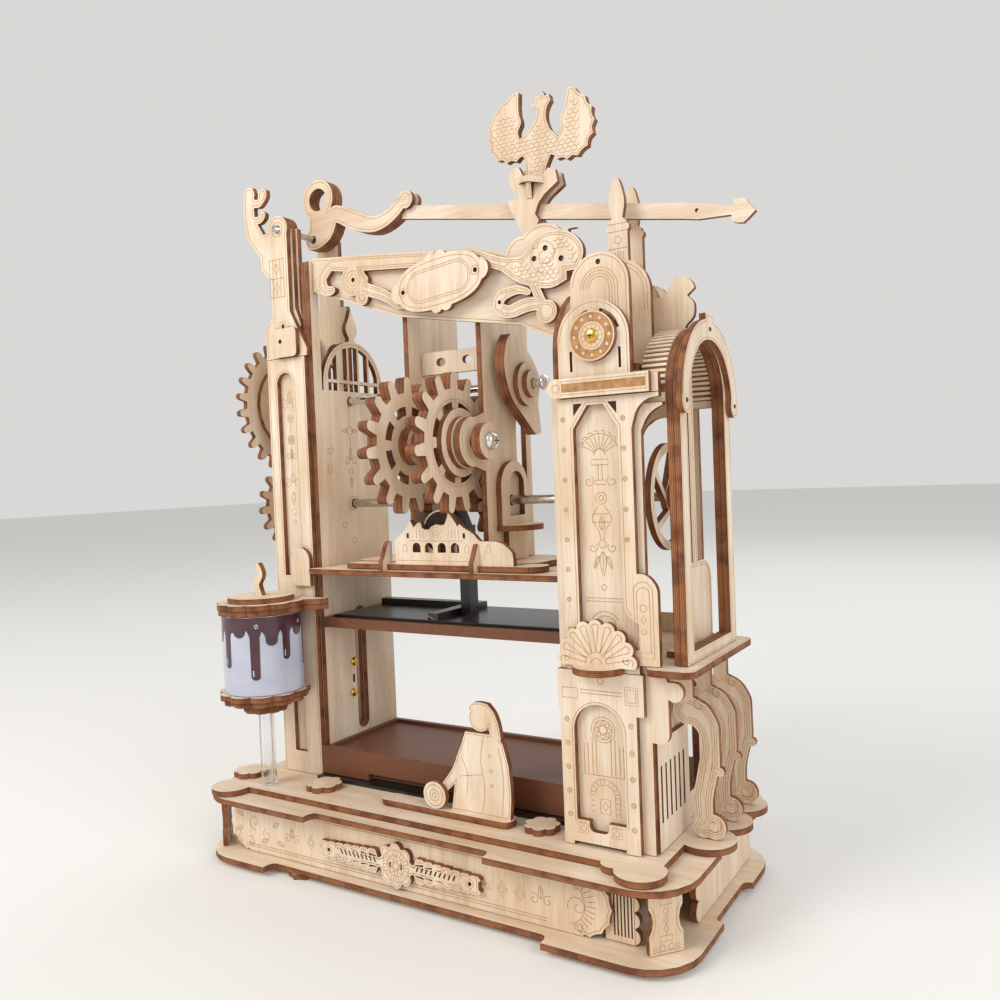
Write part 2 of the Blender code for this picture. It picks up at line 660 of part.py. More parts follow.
def build_left_tower():
    """Narrow tower on the left that carries the lever's pivot and the ends of the shafts."""
    z0 = FLOOR
    top = LT_SHOULDER - 0.0143
    outer = LT_INNER - PLY - STEP
    shapes = [rect(LT_LEFT, outer + PLY, z0, top)]
    cuts = [arch(LT_OPENING_LEFT, LT_OPENING_RIGHT, LT_OPENING_BOTTOM, LT_OPENING_TOP - 0.004)]
    cuts.append(rect(LT_OPENING_LEFT + 0.0015, LT_OPENING_RIGHT - 0.0015, 0.045, 0.070))
    frame = sheet("front", LT_FRONT, shapes, cuts)

    inset = LT_FRONT + STEP
    panel = sheet("front", LT_FRONT + GLUED, [rect(LT_LEFT + STEP, outer - GAP, z0, top)])
    badge_left = LT_OPENING_LEFT + 0.006
    badge = sheet("front", LT_FRONT - GLUED, [arch(badge_left, badge_left + 0.012, 0.1255, 0.1435)])
    piece("left_tower_front", BIRCH, [frame, panel, badge])

    shaft_holes = [circle(DRIVE_Y, DRIVE_Z, DRIVE_ROD / 2 + ROD_FIT),
                   circle(CAM_Y, CAM_Z, CAM_ROD / 2 + ROD_FIT)]
    shapes = [rect(inset, LT_BACK, z0, LT_SHOULDER)]
    cuts = shaft_holes + [arch(-0.006, 0.024, 0.050, 0.135), arch(0.016, 0.028, 0.170, LT_SHOULDER - 0.013)]
    side = sheet("side", LT_LEFT, shapes, cuts)

    shapes = [rect(inset, LT_BACK, z0, WALL_SILL), rect(inset, inset + 0.0055, z0, LT_SHOULDER + 0.030)]
    cuts = shaft_holes + [guide_slot()]
    piece("bay_wall_left_outer", BIRCH, [sheet("side", outer, shapes, cuts)])

    middle = (inset + 0.0055 + LT_BACK) / 2
    half = LT_BACK - middle - 0.001
    shapes = [rect(inset, LT_BACK, z0, WINDOW_BOTTOM), rect(inset, inset + 0.0055, z0, LT_SHOULDER + 0.030)]
    shapes.append(arch(middle - half, middle + half, WINDOW_BOTTOM - 0.002, WINDOW_TOP, 12))
    shapes.append(blob([(middle - 0.003, WINDOW_TOP - 0.002), (middle + 0.003, WINDOW_TOP - 0.002),
                        (middle + 0.0042, WINDOW_TOP + 0.006), (middle, WINDOW_TOP + 0.016),
                        (middle - 0.0042, WINDOW_TOP + 0.006)]))
    rim = 0.0028
    bars = 5
    pane = 2 * (half - rim) / bars
    cuts = shaft_holes + [guide_slot()]
    for i in range(bars):
        a0 = middle - half + rim + pane * i + WINDOW_BAR / 2
        a1 = a0 + pane - WINDOW_BAR
        spring = WINDOW_TOP - half
        reach = max(abs(a0 - middle), abs(a1 - middle))
        height = spring + math.sqrt(max((half - rim) ** 2 - reach ** 2, 0.000004))
        cuts.append(rect(a0, a1, WINDOW_BOTTOM, spring + 0.001))
        cuts.append(rect(a0, a1, spring + 0.001 + WINDOW_BAR, max(height, spring + 0.004)))
    piece("bay_wall_left_inner", BIRCH, [sheet("side", LT_INNER - PLY, shapes, cuts)])

    back = [rect(LT_LEFT + GLUED, outer - GAP, z0, WALL_SILL)]
    cuts = [arch(LT_LEFT + 0.007, outer - 0.0045, 0.060, 0.110),
            arch(LT_LEFT + 0.007, outer - 0.0045, 0.125, 0.190)]
    piece("left_tower_walls", BIRCH, [side, sheet("front", LT_BACK - PLY, back, cuts)])

    post_z0 = top + GAP
    left = LEVER_X - 0.0055
    right = LEVER_X + 0.0058
    foot = LT_INNER - STEP + 0.0017
    hole = circle(LEVER_X, LEVER_Z, LEVER_ROD / 2 + ROD_FIT, 10)
    shoulder = [(LT_LEFT, post_z0), (foot, post_z0), (foot, post_z0 + 0.004), (right, LT_SHOULDER + 0.0075),
                (right, LEVER_Z), (left - 0.001, LEVER_Z), (left - 0.006, LEVER_Z - 0.0035),
                (left - 0.006, LEVER_Z - 0.0175), (left, LEVER_Z - 0.0235), (left, LT_SHOULDER + 0.005),
                (LT_LEFT, LT_SHOULDER + 0.002)]
    head = circle(LEVER_X, LEVER_Z, 0.0064, 16)
    horn = band([(-0.0085, -0.0090, 0.008), (-0.0150, -0.0005, 0.009), (-0.0180, 0.0080, 0.007),
                 (-0.0180, 0.0160, 0.007), (-0.0175, 0.0200, 0.007)])
    ear = band([(-0.0180, 0.0160, 0.004), (-0.0115, 0.0145, 0.004), (-0.0085, 0.0185, 0.0055)], 3)
    nub = band([(-0.0175, 0.0070, 0.004), (-0.0115, 0.0065, 0.0035), (-0.0090, 0.0085, 0.0035)], 3)
    neck = band([(-0.0120, -0.0050, 0.006), (-0.0030, -0.0030, 0.007)], 2)
    ornament = [shifted(outline, LEVER_X, LEVER_Z) for outline in (horn, ear, nub, neck)]
    slot = rect(LEVER_X + 0.0002, LEVER_X + 0.0018, LT_SHOULDER - 0.005, LT_SHOULDER + 0.002)
    front = sheet("front", LT_FRONT, [shoulder, head] + ornament, [hole, slot])
    layers = [front]
    for i in (1, 2):
        widen = 0.0012 * i
        back_edge = [(left + widen, post_z0), (right + 0.0042, post_z0),
                     (right + 0.0042, LT_SHOULDER + 0.002),
                     (right + widen, LT_SHOULDER + 0.0095), (right + widen, LEVER_Z),
                     (left + widen, LEVER_Z)]
        layer = sheet("front", LT_FRONT + GLUED * i, [back_edge, head], [hole])
        layers.append(layer)

    plate = rounded(LEVER_X - 0.0038, LEVER_X + 0.0111, post_z0, LT_SHOULDER - 0.0005, 0.002, 2)
    ledge = sheet("front", LT_FRONT - GLUED, [plate], [circle(LEVER_X + 0.0009, LT_SHOULDER - 0.0065,
                                                              0.0011, 8)])
    rear_z0 = WALL_SILL + GAP
    rear_cuts = [hole, arch(LT_LEFT + 0.007, outer - 0.0045, rear_z0 + 0.0067, LT_SHOULDER - 0.004)]
    rear_shapes = [rect(LT_LEFT + STEP, outer - GAP, rear_z0, LT_SHOULDER + 0.014), head]
    rear_shapes.append(rect(LEVER_X - 0.007, LEVER_X + 0.007, LT_SHOULDER + 0.007, LEVER_Z))
    rear = sheet("front", LEVER_Y + PLY * 1.5 + STEP, rear_shapes, rear_cuts)
    piece("left_post", BIRCH, layers + [ledge])
    piece("left_post_rear", BIRCH, [rear])


def bar_z(x):
    """Height of the lever bar's middle line."""
    return BAR_START_Z + (x - BAR_START_X) * (BAR_END_Z - BAR_START_Z) / (BAR_END_X - BAR_START_X)


def build_lever(axis):
    """Counterweight lever of three layers with its ring, its long bar and the bird on top."""
    core_y = LEVER_Y - PLY / 2
    hole = circle(LEVER_X, LEVER_Z, LEVER_ROD / 2 + ROD_FIT, 12)
    ring = circle(LEVER_RING_X, LEVER_RING_Z, LEVER_RING_RADIUS, 24)
    ring_hole = circle(LEVER_RING_X, LEVER_RING_Z, LEVER_RING_HOLE, 16)
    lobe = band([(0, 0, 0.011), (0.0070, 0.0035, 0.0125), (0.0150, 0.0100, 0.0085), (0.0260, 0.0050, 0.0085),
                 (0.0390, 0.0010, 0.0075), (0.0500, 0.0040, 0.0065), (0.0570, 0.0095, 0.0060)], 3)
    lobe = shifted(lobe, LEVER_X, LEVER_Z)
    neck = band([(LEVER_RING_X, LEVER_RING_Z - 0.008, 0.012), (LEVER_RING_X, LEVER_Z + 0.005, 0.012)], 2)
    cheek_end = circle(LEVER_X + 0.058, LEVER_Z + 0.009, 0.0042, 12)
    half = BAR_HEIGHT / 2
    head_x = BAR_END_X - 0.010
    bar = [(BAR_START_X - 0.004, bar_z(BAR_START_X) - half), (head_x, bar_z(head_x) - half),
           (head_x, bar_z(head_x) + half), (BAR_START_X - 0.004, bar_z(BAR_START_X) + half)]
    point = [(head_x - 0.002, bar_z(head_x) - 0.0055), (head_x + 0.003, bar_z(head_x) - half * 0.7),
             (BAR_END_X, bar_z(BAR_END_X)), (head_x + 0.003, bar_z(head_x) + half * 0.9),
             (head_x - 0.002, bar_z(head_x) + 0.0060), (head_x - 0.007, bar_z(head_x) + half * 0.4),
             (head_x - 0.007, bar_z(head_x) - half * 0.4)]
    tip_hole = circle(head_x - 0.0015, bar_z(head_x - 0.0015), 0.0009, 8)
    core = sheet("front", core_y, [ring, neck, lobe, bar, point], [hole, ring_hole, tip_hole])
    cheeks = []
    for at in (core_y - GLUED, core_y + GLUED):
        cheeks.append(sheet("front", at, [ring, neck, lobe, cheek_end], [hole, ring_hole]))
    piece("counterweight_lever", BIRCH, [core] + cheeks, axis)

    middle_z = bar_z(BIRD_X)
    outer = [(0.0120, 0.0499), (0.0175, 0.0467), (0.0215, 0.0429), (0.0242, 0.0382), (0.0250, 0.0329),
             (0.0240, 0.0284),
             (0.0213, 0.0239), (0.0170, 0.0220), (0.0125, 0.0214), (0.0085, 0.0224)]
    inner = [(0.0050, 0.0235), (0.0050, 0.0335), (0.0094, 0.0301), (0.0106, 0.0332), (0.0094, 0.0369),
             (0.0109, 0.0409)]
    wing = frilled(outer, 0.0011) + inner
    body = [(-0.0050, 0.0335), (-0.0024, 0.0375), (-0.0018, 0.0415), (-0.0058, 0.0436), (-0.0031, 0.0448),
            (-0.0033, 0.0475), (-0.0012, 0.0470), (-0.0002, 0.0494), (0.0012, 0.0472), (0.0031, 0.0480),
            (0.0041, 0.0452),
            (0.0028, 0.0430), (0.0026, 0.0385), (0.0050, 0.0335), (0.0070, 0.0240), (0.0050, 0.0180),
            (0.0036, 0.0092),
            (-0.0036, 0.0092), (-0.0050, 0.0180), (-0.0070, 0.0240)]
    shapes = [shifted(outline, BIRD_X, middle_z) for outline in (wing, flipped(wing, 0), body)]
    solids = [sheet("front", core_y - GAP - WELD, shapes, thick=PLY + 2 * (GAP + WELD))]

    cup = [(-0.0036, 0.0125), (-0.0072, 0.0178), (-0.0105, 0.0172), (-0.0118, 0.0130), (-0.0090, 0.0080),
           (-0.0050, 0.0045),
           (-0.0110, 0.0038), (-0.0098, 0.0005), (-0.0066, -0.0040), (-0.0035, -0.0088),
           (0.0000, -0.0105), (0.0040, -0.0085),
           (0.0052, -0.0045), (0.0030, -0.0020), (0.0045, 0.0030), (0.0090, 0.0078), (0.0125, 0.0110),
           (0.0108, 0.0160),
           (0.0072, 0.0168), (0.0036, 0.0125)]
    for at in (core_y - STEP, core_y + STEP):
        solids.append(sheet("front", at, [shifted(cup, BIRD_X, middle_z)]))
    tray = blob([(BIRD_X - 0.0085, LEVER_Y), (BIRD_X, LEVER_Y - 0.0085), (BIRD_X + 0.0085, LEVER_Y),
                 (BIRD_X, LEVER_Y + 0.0085)], 4)
    solids.append(sheet("flat", middle_z + 0.0105, [tray]))
    rib = [(LEVER_Y - 0.0070, middle_z + 0.0107), (LEVER_Y - 0.0045, middle_z + 0.0045),
           (LEVER_Y + 0.0045, middle_z + 0.0045),
           (LEVER_Y + 0.0070, middle_z + 0.0107)]
    solids.append(sheet("side", BIRD_X - PLY / 2, [rib]))
    piece("bird_finial", BIRCH, [tilted(solid, BIRD_X, middle_z, BIRD_TILT) for solid in solids], axis)


def spread_gear(x, y, z, teeth, module, fill, holes, bore, phase):
    """Finger gear on a shaft along X, two sheets thick, with arc slots round its middle."""
    shapes = [finger_gear(y, z, teeth, module, fill, 0.95, 1.0, phase)]
    cuts = [circle(y, z, bore, 12)]
    slot_radius = module * teeth / 2 - 3.2 * module
    if holes:
        for i in range(holes):
            start = 360 / holes * i + 8
            end = 360 / holes * (i + 1) - 8
            outer = arc(y, z, slot_radius + 0.002, start, end, 2)
            inner = arc(y, z, slot_radius - 0.002, end, start, 2)
            cuts.append(outer + inner)
    return sheet("side", x, shapes, cuts, thick=2 * PLY)


def build_shafts():
    """The three shafts with their gears, wheel, cams and crank."""
    drive = joint_axis("drive_axis", 0, DRIVE_Y, DRIVE_Z)
    cam = joint_axis("cam_axis", 0, CAM_Y, CAM_Z)
    press = joint_axis("press_axis", 0, PRESS_Y, PRESS_Z)
    train_module = 2 * CAM_LIFT / (DRIVE_TEETH + CAM_TEETH)
    press_module = 2 * math.hypot(PRESS_BACK, PRESS_LIFT) / (PRESS_TEETH + PRESS_PINION_TEETH)
    drive_bore = DRIVE_ROD / 2 + GAP
    cam_bore = CAM_ROD / 2 + GAP
    press_bore = PRESS_ROD / 2 + GAP

    piece("drive_rod", STEEL, [rod("side", DRIVE_Y, DRIVE_Z, DRIVE_ROD, DRIVE_LEFT, DRIVE_RIGHT)], drive,
          True)
    pinion = sheet("side", TRAIN_X, [finger_gear(DRIVE_Y, DRIVE_Z, DRIVE_TEETH, train_module, 0.42, 0.9,
                                                 1.0, 90)],
                   [circle(DRIVE_Y, DRIVE_Z, drive_bore, 12)], thick=PLY)

    line = math.degrees(math.atan2(PRESS_LIFT, -PRESS_BACK))
    left_gear_x = -CENTRE_HALF + RUN
    piece("drive_pinion", BIRCH, [pinion], drive)
    for name, x in (("left", left_gear_x), ("right", RIGHT_GEAR_X)):
        outline = finger_gear(DRIVE_Y, DRIVE_Z, PRESS_PINION_TEETH, press_module, 0.40, 0.85, 0.95, line)
        pinion = sheet("side", x, [outline], [circle(DRIVE_Y, DRIVE_Z, drive_bore, 12)], thick=2 * PLY)
        piece("press_pinion_" + name, BIRCH, [pinion], drive)

    rim = [circle(DRIVE_Y, DRIVE_Z, HAND_WHEEL_RADIUS, 28)]
    spokes = 5
    cuts = []
    for i in range(spokes):
        start = 360 / spokes * i
        outer = arc(DRIVE_Y, DRIVE_Z, HAND_WHEEL_RADIUS - 0.0035, start + 8, start + 360 / spokes - 2, 5)
        inner = arc(DRIVE_Y, DRIVE_Z, 0.0062, start + 360 / spokes + 22, start + 50, 2)
        cuts.append(outer + inner)
    cuts.append(circle(DRIVE_Y, DRIVE_Z, drive_bore, 12))
    wheel = sheet("side", HAND_WHEEL_X, rim, cuts)
    hub = sheet("side", HAND_WHEEL_X + GLUED, [circle(DRIVE_Y, DRIVE_Z, 0.0055, 16)],
                [circle(DRIVE_Y, DRIVE_Z, drive_bore, 12)], thick=0.002)
    piece("hand_wheel", BIRCH, [wheel, hub], drive)

    gear = sheet("side", TRAIN_X, [finger_gear(CAM_Y, CAM_Z, CAM_TEETH, train_module, 0.42, 0.9, 1.0,
                                               -90 + 7.5)],
                 [circle(CAM_Y, CAM_Z, cam_bore, 12)], thick=PLY)
    disc = sheet("side", TRAIN_X + GLUED, [circle(CAM_Y, CAM_Z, 0.022, 24)],
                 [circle(CAM_Y, CAM_Z, cam_bore, 12)])
    piece("cam_gear", BIRCH, [gear, disc], cam)
    cam_right = CENTRE_HALF + 0.0205
    axle = rod("side", CAM_Y, CAM_Z, CAM_ROD, TRAIN_X - 0.002, cam_right)
    leaf = blob([(CAM_Y - 0.010, CAM_Z + 0.021), (CAM_Y - 0.016, CAM_Z + 0.008),
                 (CAM_Y - 0.011, CAM_Z - 0.006),
                 (CAM_Y - 0.002, CAM_Z - 0.013), (CAM_Y + 0.008, CAM_Z - 0.021),
                 (CAM_Y + 0.014, CAM_Z - 0.020),
                 (CAM_Y + 0.012, CAM_Z - 0.008), (CAM_Y + 0.014, CAM_Z + 0.004),
                 (CAM_Y + 0.004, CAM_Z + 0.015)], 3)
    stack = []
    for i, shapes in enumerate(([leaf], [leaf], [circle(CAM_Y, CAM_Z, 0.0095, 20)],
                                [circle(CAM_Y, CAM_Z, 0.0060, 16)])):
        stack.append(sheet("side", CENTRE_HALF + PLY + 0.0035 + GLUED * i, shapes,
                           [circle(CAM_Y, CAM_Z, cam_bore, 12)]))
    piece("cam_stack", BIRCH, stack, cam)
    cap_x = cam_right - WELD
    cap = turned("side", CAM_Y, CAM_Z, [(0.0034, cap_x), (0.0034, cap_x + 0.001),
                                        (0.0024, cap_x + 0.0022), (0, cap_x + 0.0027)])
    piece("cam_axle", STEEL, [axle, cap], cam, True)

    mesh_phase = line + 180 + 180 / PRESS_TEETH
    slots = 8
    gears = []
    for x in (left_gear_x, RIGHT_GEAR_X):
        gear = spread_gear(x, PRESS_Y, PRESS_Z, PRESS_TEETH, press_module, 0.42, slots, press_bore,
                           mesh_phase)
        gears.append(gear)
    discs = []
    x = RIGHT_GEAR_X + 2 * PLY - WELD
    for radius in (0.0145, 0.0110):
        discs.append(sheet("side", x, [circle(PRESS_Y, PRESS_Z, radius, 20)],
                           [circle(PRESS_Y, PRESS_Z, press_bore, 12)]))
        x += GLUED
    piece("press_gear_right", BIRCH, [gears[1]] + discs, press)
    washer_x = CENTRE_HALF + 2 * STEP + RUN
    end = washer_x + 0.0042
    radius = PRESS_ROD / 2
    start = -CENTRE_HALF - PLY - 0.003
    profile = [(radius, start), (radius, washer_x), (0.0076, washer_x), (0.0076, end), (0.0038, end),
               (0.0038, end + 0.0014),
               (0.0029, end + 0.0030), (0, end + 0.0038)]
    piece("press_axle", STEEL, [turned("side", PRESS_Y, PRESS_Z, profile, 18)], press, True)
    spacer = []
    x = left_gear_x + 2 * PLY - WELD
    while x + 2 * PLY < RIGHT_GEAR_X - GAP:
        reach = 0.0085 if len(spacer) % 2 == 0 else 0.0060
        disc = [circle(PRESS_Y, PRESS_Z, reach, 14)]
        spacer.append(sheet("side", x, disc, [circle(PRESS_Y, PRESS_Z, press_bore, 12)], thick=2 * PLY))
        x += 2 * PLY - WELD
    piece("press_gear_left", BIRCH, [gears[0]] + spacer, press)


def build_centre():
    """Plates in the middle that carry the gears, with their brace and the small arch."""
    z0 = DECK_BOTTOM + 2 * STEP
    for name, at in (("centre_plate_left", -CENTRE_HALF - PLY), ("centre_plate_right", CENTRE_HALF)):
        shapes = [rect(CENTRE_FRONT, CENTRE_BACK, z0, CENTRE_TOP)]
        shapes.append(circle(PRESS_Y, PRESS_Z, LOBE_PLATE_RADIUS, 22))
        shapes.append(band([(PRESS_Y, PRESS_Z, 0.020), (CENTRE_FRONT + 0.002, PRESS_Z, 0.026)], 2))
        cuts = [circle(PRESS_Y, PRESS_Z, PRESS_ROD / 2 + ROD_FIT, 12),
                circle(DRIVE_Y, DRIVE_Z, DRIVE_ROD / 2 + ROD_FIT, 12)]
        cuts.append(circle(CAM_Y, CAM_Z, CAM_ROD / 2 + ROD_FIT, 12))
        cuts.append(arch(0.014, 0.0225, 0.172, 0.200))
        piece(name, BIRCH, [sheet("side", at, shapes, cuts)])
    inner = CENTRE_HALF - GAP
    brace = [rect(-inner, inner, 0.2205, 0.2305)]
    cuts = [rounded(x - 0.0025, x + 0.0025, 0.2240, 0.2275, 0.0015, 2) for x in (-0.007, 0.007)]
    piece("cross_brace", BIRCH, [sheet("front", -0.0030, brace, cuts)])
    at = CENTRE_HALF + STEP
    shelf = sheet("flat", z0 + 0.0130, [arc(at, 0.008, 0.0135, -90, 90, 10)])
    shelf_top = z0 + 0.0130 + GLUED
    post = sheet("side", at, [rect(0.000, 0.016, z0, z0 + 0.0130 + WELD)])
    cuts = [arch(0.0018, 0.0145, shelf_top + 0.004, shelf_top + 0.0235)]
    frame = sheet("side", at, [arch(-0.0050, 0.0180, shelf_top, shelf_top + 0.0280, 12)], cuts)
    piece("rod_arch", BIRCH, [shelf, post, frame])


def build_crest():
    """Carved crest across the top with its bare name plate."""
    right = RT_LEFT - GAP
    left = LT_INNER + GAP
    edge = [(left, 0.2795), (-0.059, 0.2771), (-0.041, 0.2761), (-0.018, 0.2747), (0.003, 0.2725),
            (0.024, 0.2692),
            (0.038, 0.2640), (0.0575, 0.2640), (right, 0.2560)]
    low = [(right, 0.2300), (0.0575, 0.2280), (0.042, 0.2350), (0.010, 0.2410), (-0.020, 0.2460),
           (-0.037, 0.2520),
           (-0.054, 0.2584), (left, 0.2640)]
    lobes = [circle(0.0530, 0.2620, 0.0122, 18), circle(0.0648, 0.2615, 0.0093, 16),
             circle(0.0440, 0.2625, 0.0082, 14)]
    beam_y = CENTRE_FRONT - GAP - PLY
    piece("crest_beam", BIRCH, [sheet("front", beam_y, [edge + low] + lobes,
                                      [rect(right, right + 0.02, 0.22, 0.27)])])

    front_y = beam_y - STEP
    rosette = blob([(0.0287, 0.2649), (0.0373, 0.2626), (0.0455, 0.2622), (0.0500, 0.2668),
                    (0.0565, 0.2698), (0.0650, 0.2688),
                    (0.0708, 0.2645), (0.0725, 0.2590), (0.0690, 0.2522), (0.0620, 0.2485),
                    (0.0552, 0.2476), (0.0439, 0.2512),
                    (0.0347, 0.2578), (0.0286, 0.2605)], 2)
    tail = band([(0.0475, 0.2472, 0.0026), (0.0425, 0.2488, 0.0035), (0.0352, 0.2474, 0.0050),
                 (0.0332, 0.2432, 0.0052),
                 (0.0386, 0.2405, 0.0052), (0.0470, 0.2422, 0.0056), (0.0530, 0.2420, 0.0050)], 2)
    cuts = [circle(0.0559, 0.2634, 0.0012, 8), circle(0.0507, 0.2600, 0.0012, 8),
            circle(0.0628, 0.2583, 0.0012, 8),
            circle(0.0338, 0.2449, 0.0009, 8), circle(-0.0434, 0.2652, 0.0011, 8)]
    right_side = [rosette, tail, circle(0.0555, 0.2385, 0.0046, 14),
                  band([(0.050, 0.250, 0.004), (0.054, 0.241, 0.004)], 1)]
    top = band([(-0.0560, 0.2742, 0.0060), (-0.0400, 0.2722, 0.0074), (-0.0180, 0.2712, 0.0068),
                (0.0040, 0.2690, 0.0066),
                (0.0220, 0.2655, 0.0060), (0.0320, 0.2618, 0.0050)], 2)
    hook = band([(-0.0575, 0.2735, 0.0052), (-0.0622, 0.2685, 0.0056), (-0.0605, 0.2630, 0.0052),
                 (-0.0560, 0.2622, 0.0036)], 2)
    eye = [circle(-0.0434, 0.2652, 0.0072, 16), circle(-0.0385, 0.2565, 0.0034, 10)]
    arm = band([(-0.0400, 0.2610, 0.0060), (-0.0330, 0.2590, 0.0056), (-0.0260, 0.2560, 0.0052),
                (-0.0180, 0.2510, 0.0046),
                (-0.0100, 0.2500, 0.0046)], 2)
    link = band([(-0.0440, 0.2700, 0.0060), (-0.0380, 0.2640, 0.0070), (-0.0400, 0.2575, 0.0050)], 2)
    right_limit = [rect(right, right + 0.02, 0.22, 0.2530)]
    shapes = right_side + [top, hook, arm, link] + eye
    piece("crest_scrolls", BIRCH, [sheet("front", front_y, shapes, cuts + right_limit)])

    plate_y = front_y - STEP
    outline = []
    for i in range(28):
        angle = 2 * math.pi * i / 28
        outline.append((0.0055 + 0.0228 * math.cos(angle), 0.2570 + 0.0112 * math.sin(angle)))
    shapes = [outline, circle(0.0030, 0.2672, 0.0030, 12), circle(0.0085, 0.2672, 0.0030, 12)]
    shapes += [circle(0.0025, 0.2468, 0.0026, 12), circle(0.0090, 0.2468, 0.0026, 12)]
    shapes += [circle(-0.0162, 0.2570, 0.0042, 12), circle(0.0272, 0.2570, 0.0042, 12)]
    shapes = [turned_about(outline, 0.0055, 0.2570, 6.5) for outline in shapes]
    holes = [circle(-0.0121, 0.2570, 0.0010, 8), circle(0.0231, 0.2570, 0.0010, 8)]
    cuts = [turned_about(outline, 0.0055, 0.2570, 6.5) for outline in holes]
    piece("name_plate", BIRCH, [sheet("front", plate_y, shapes, cuts)])


def build_deck():
    """Deck above the platen with the small town front that stands on it."""
    left = LT_INNER + GAP
    right = RT_LEFT - GAP
    shapes = [rounded(DECK_LEFT, right, DECK_FRONT, LT_FRONT + 0.0022, 0.001, 2),
              rect(left, right, LT_FRONT, DECK_BACK)]
    cuts = [rect(-0.0085, 0.0015, -0.0060, 0.0210)]
    piece("deck_plate", BIRCH, [sheet("flat", DECK_BOTTOM, shapes, cuts)])
    shapes = [rounded(BOARD_LEFT, BOARD_RIGHT, BOARD_FRONT, 0.030, 0.0085, 4)]
    board_z = DECK_BOTTOM + STEP
    board = sheet("flat", board_z, shapes, cuts)

    z0 = board_z
    middle = (FACADE_LEFT + FACADE_RIGHT) / 2
    wall_top = z0 + 0.0135
    shapes = [rect(FACADE_LEFT, FACADE_RIGHT, z0, wall_top - 0.003)]
    for i in range(7):
        x = FACADE_LEFT + 0.003 + (FACADE_RIGHT - FACADE_LEFT - 0.006) * i / 6
        rise = 0.0035 * math.sin(math.pi * i / 6)
        shapes.append(arch(x - 0.0028, x + 0.0028, z0, wall_top + rise, 5))
    cuts = []
    for i in range(4):
        x = middle - 0.0102 + 0.0068 * i
        cuts.append(arch(x - 0.0021, x + 0.0021, z0 + 0.0035, z0 + 0.0095, 6))
    shapes.append([(FACADE_LEFT - 0.012, z0), (FACADE_LEFT + 0.001, z0), (FACADE_LEFT + 0.001, z0 + 0.007)])
    shapes.append([(FACADE_RIGHT - 0.001, z0), (FACADE_RIGHT + 0.022, z0),
                   (FACADE_RIGHT - 0.001, z0 + 0.009)])
    piece("deck_facade", BIRCH, [sheet("front", FACADE_Y, shapes, cuts)])
    shapes = [arch(DOME_X - DOME_RADIUS, DOME_X + DOME_RADIUS, board_z, DOME_TOP, 14)]
    dome = sheet("front", BOARD_FRONT - GLUED, shapes)
    piece("deck_board", BIRCH, [board, dome])


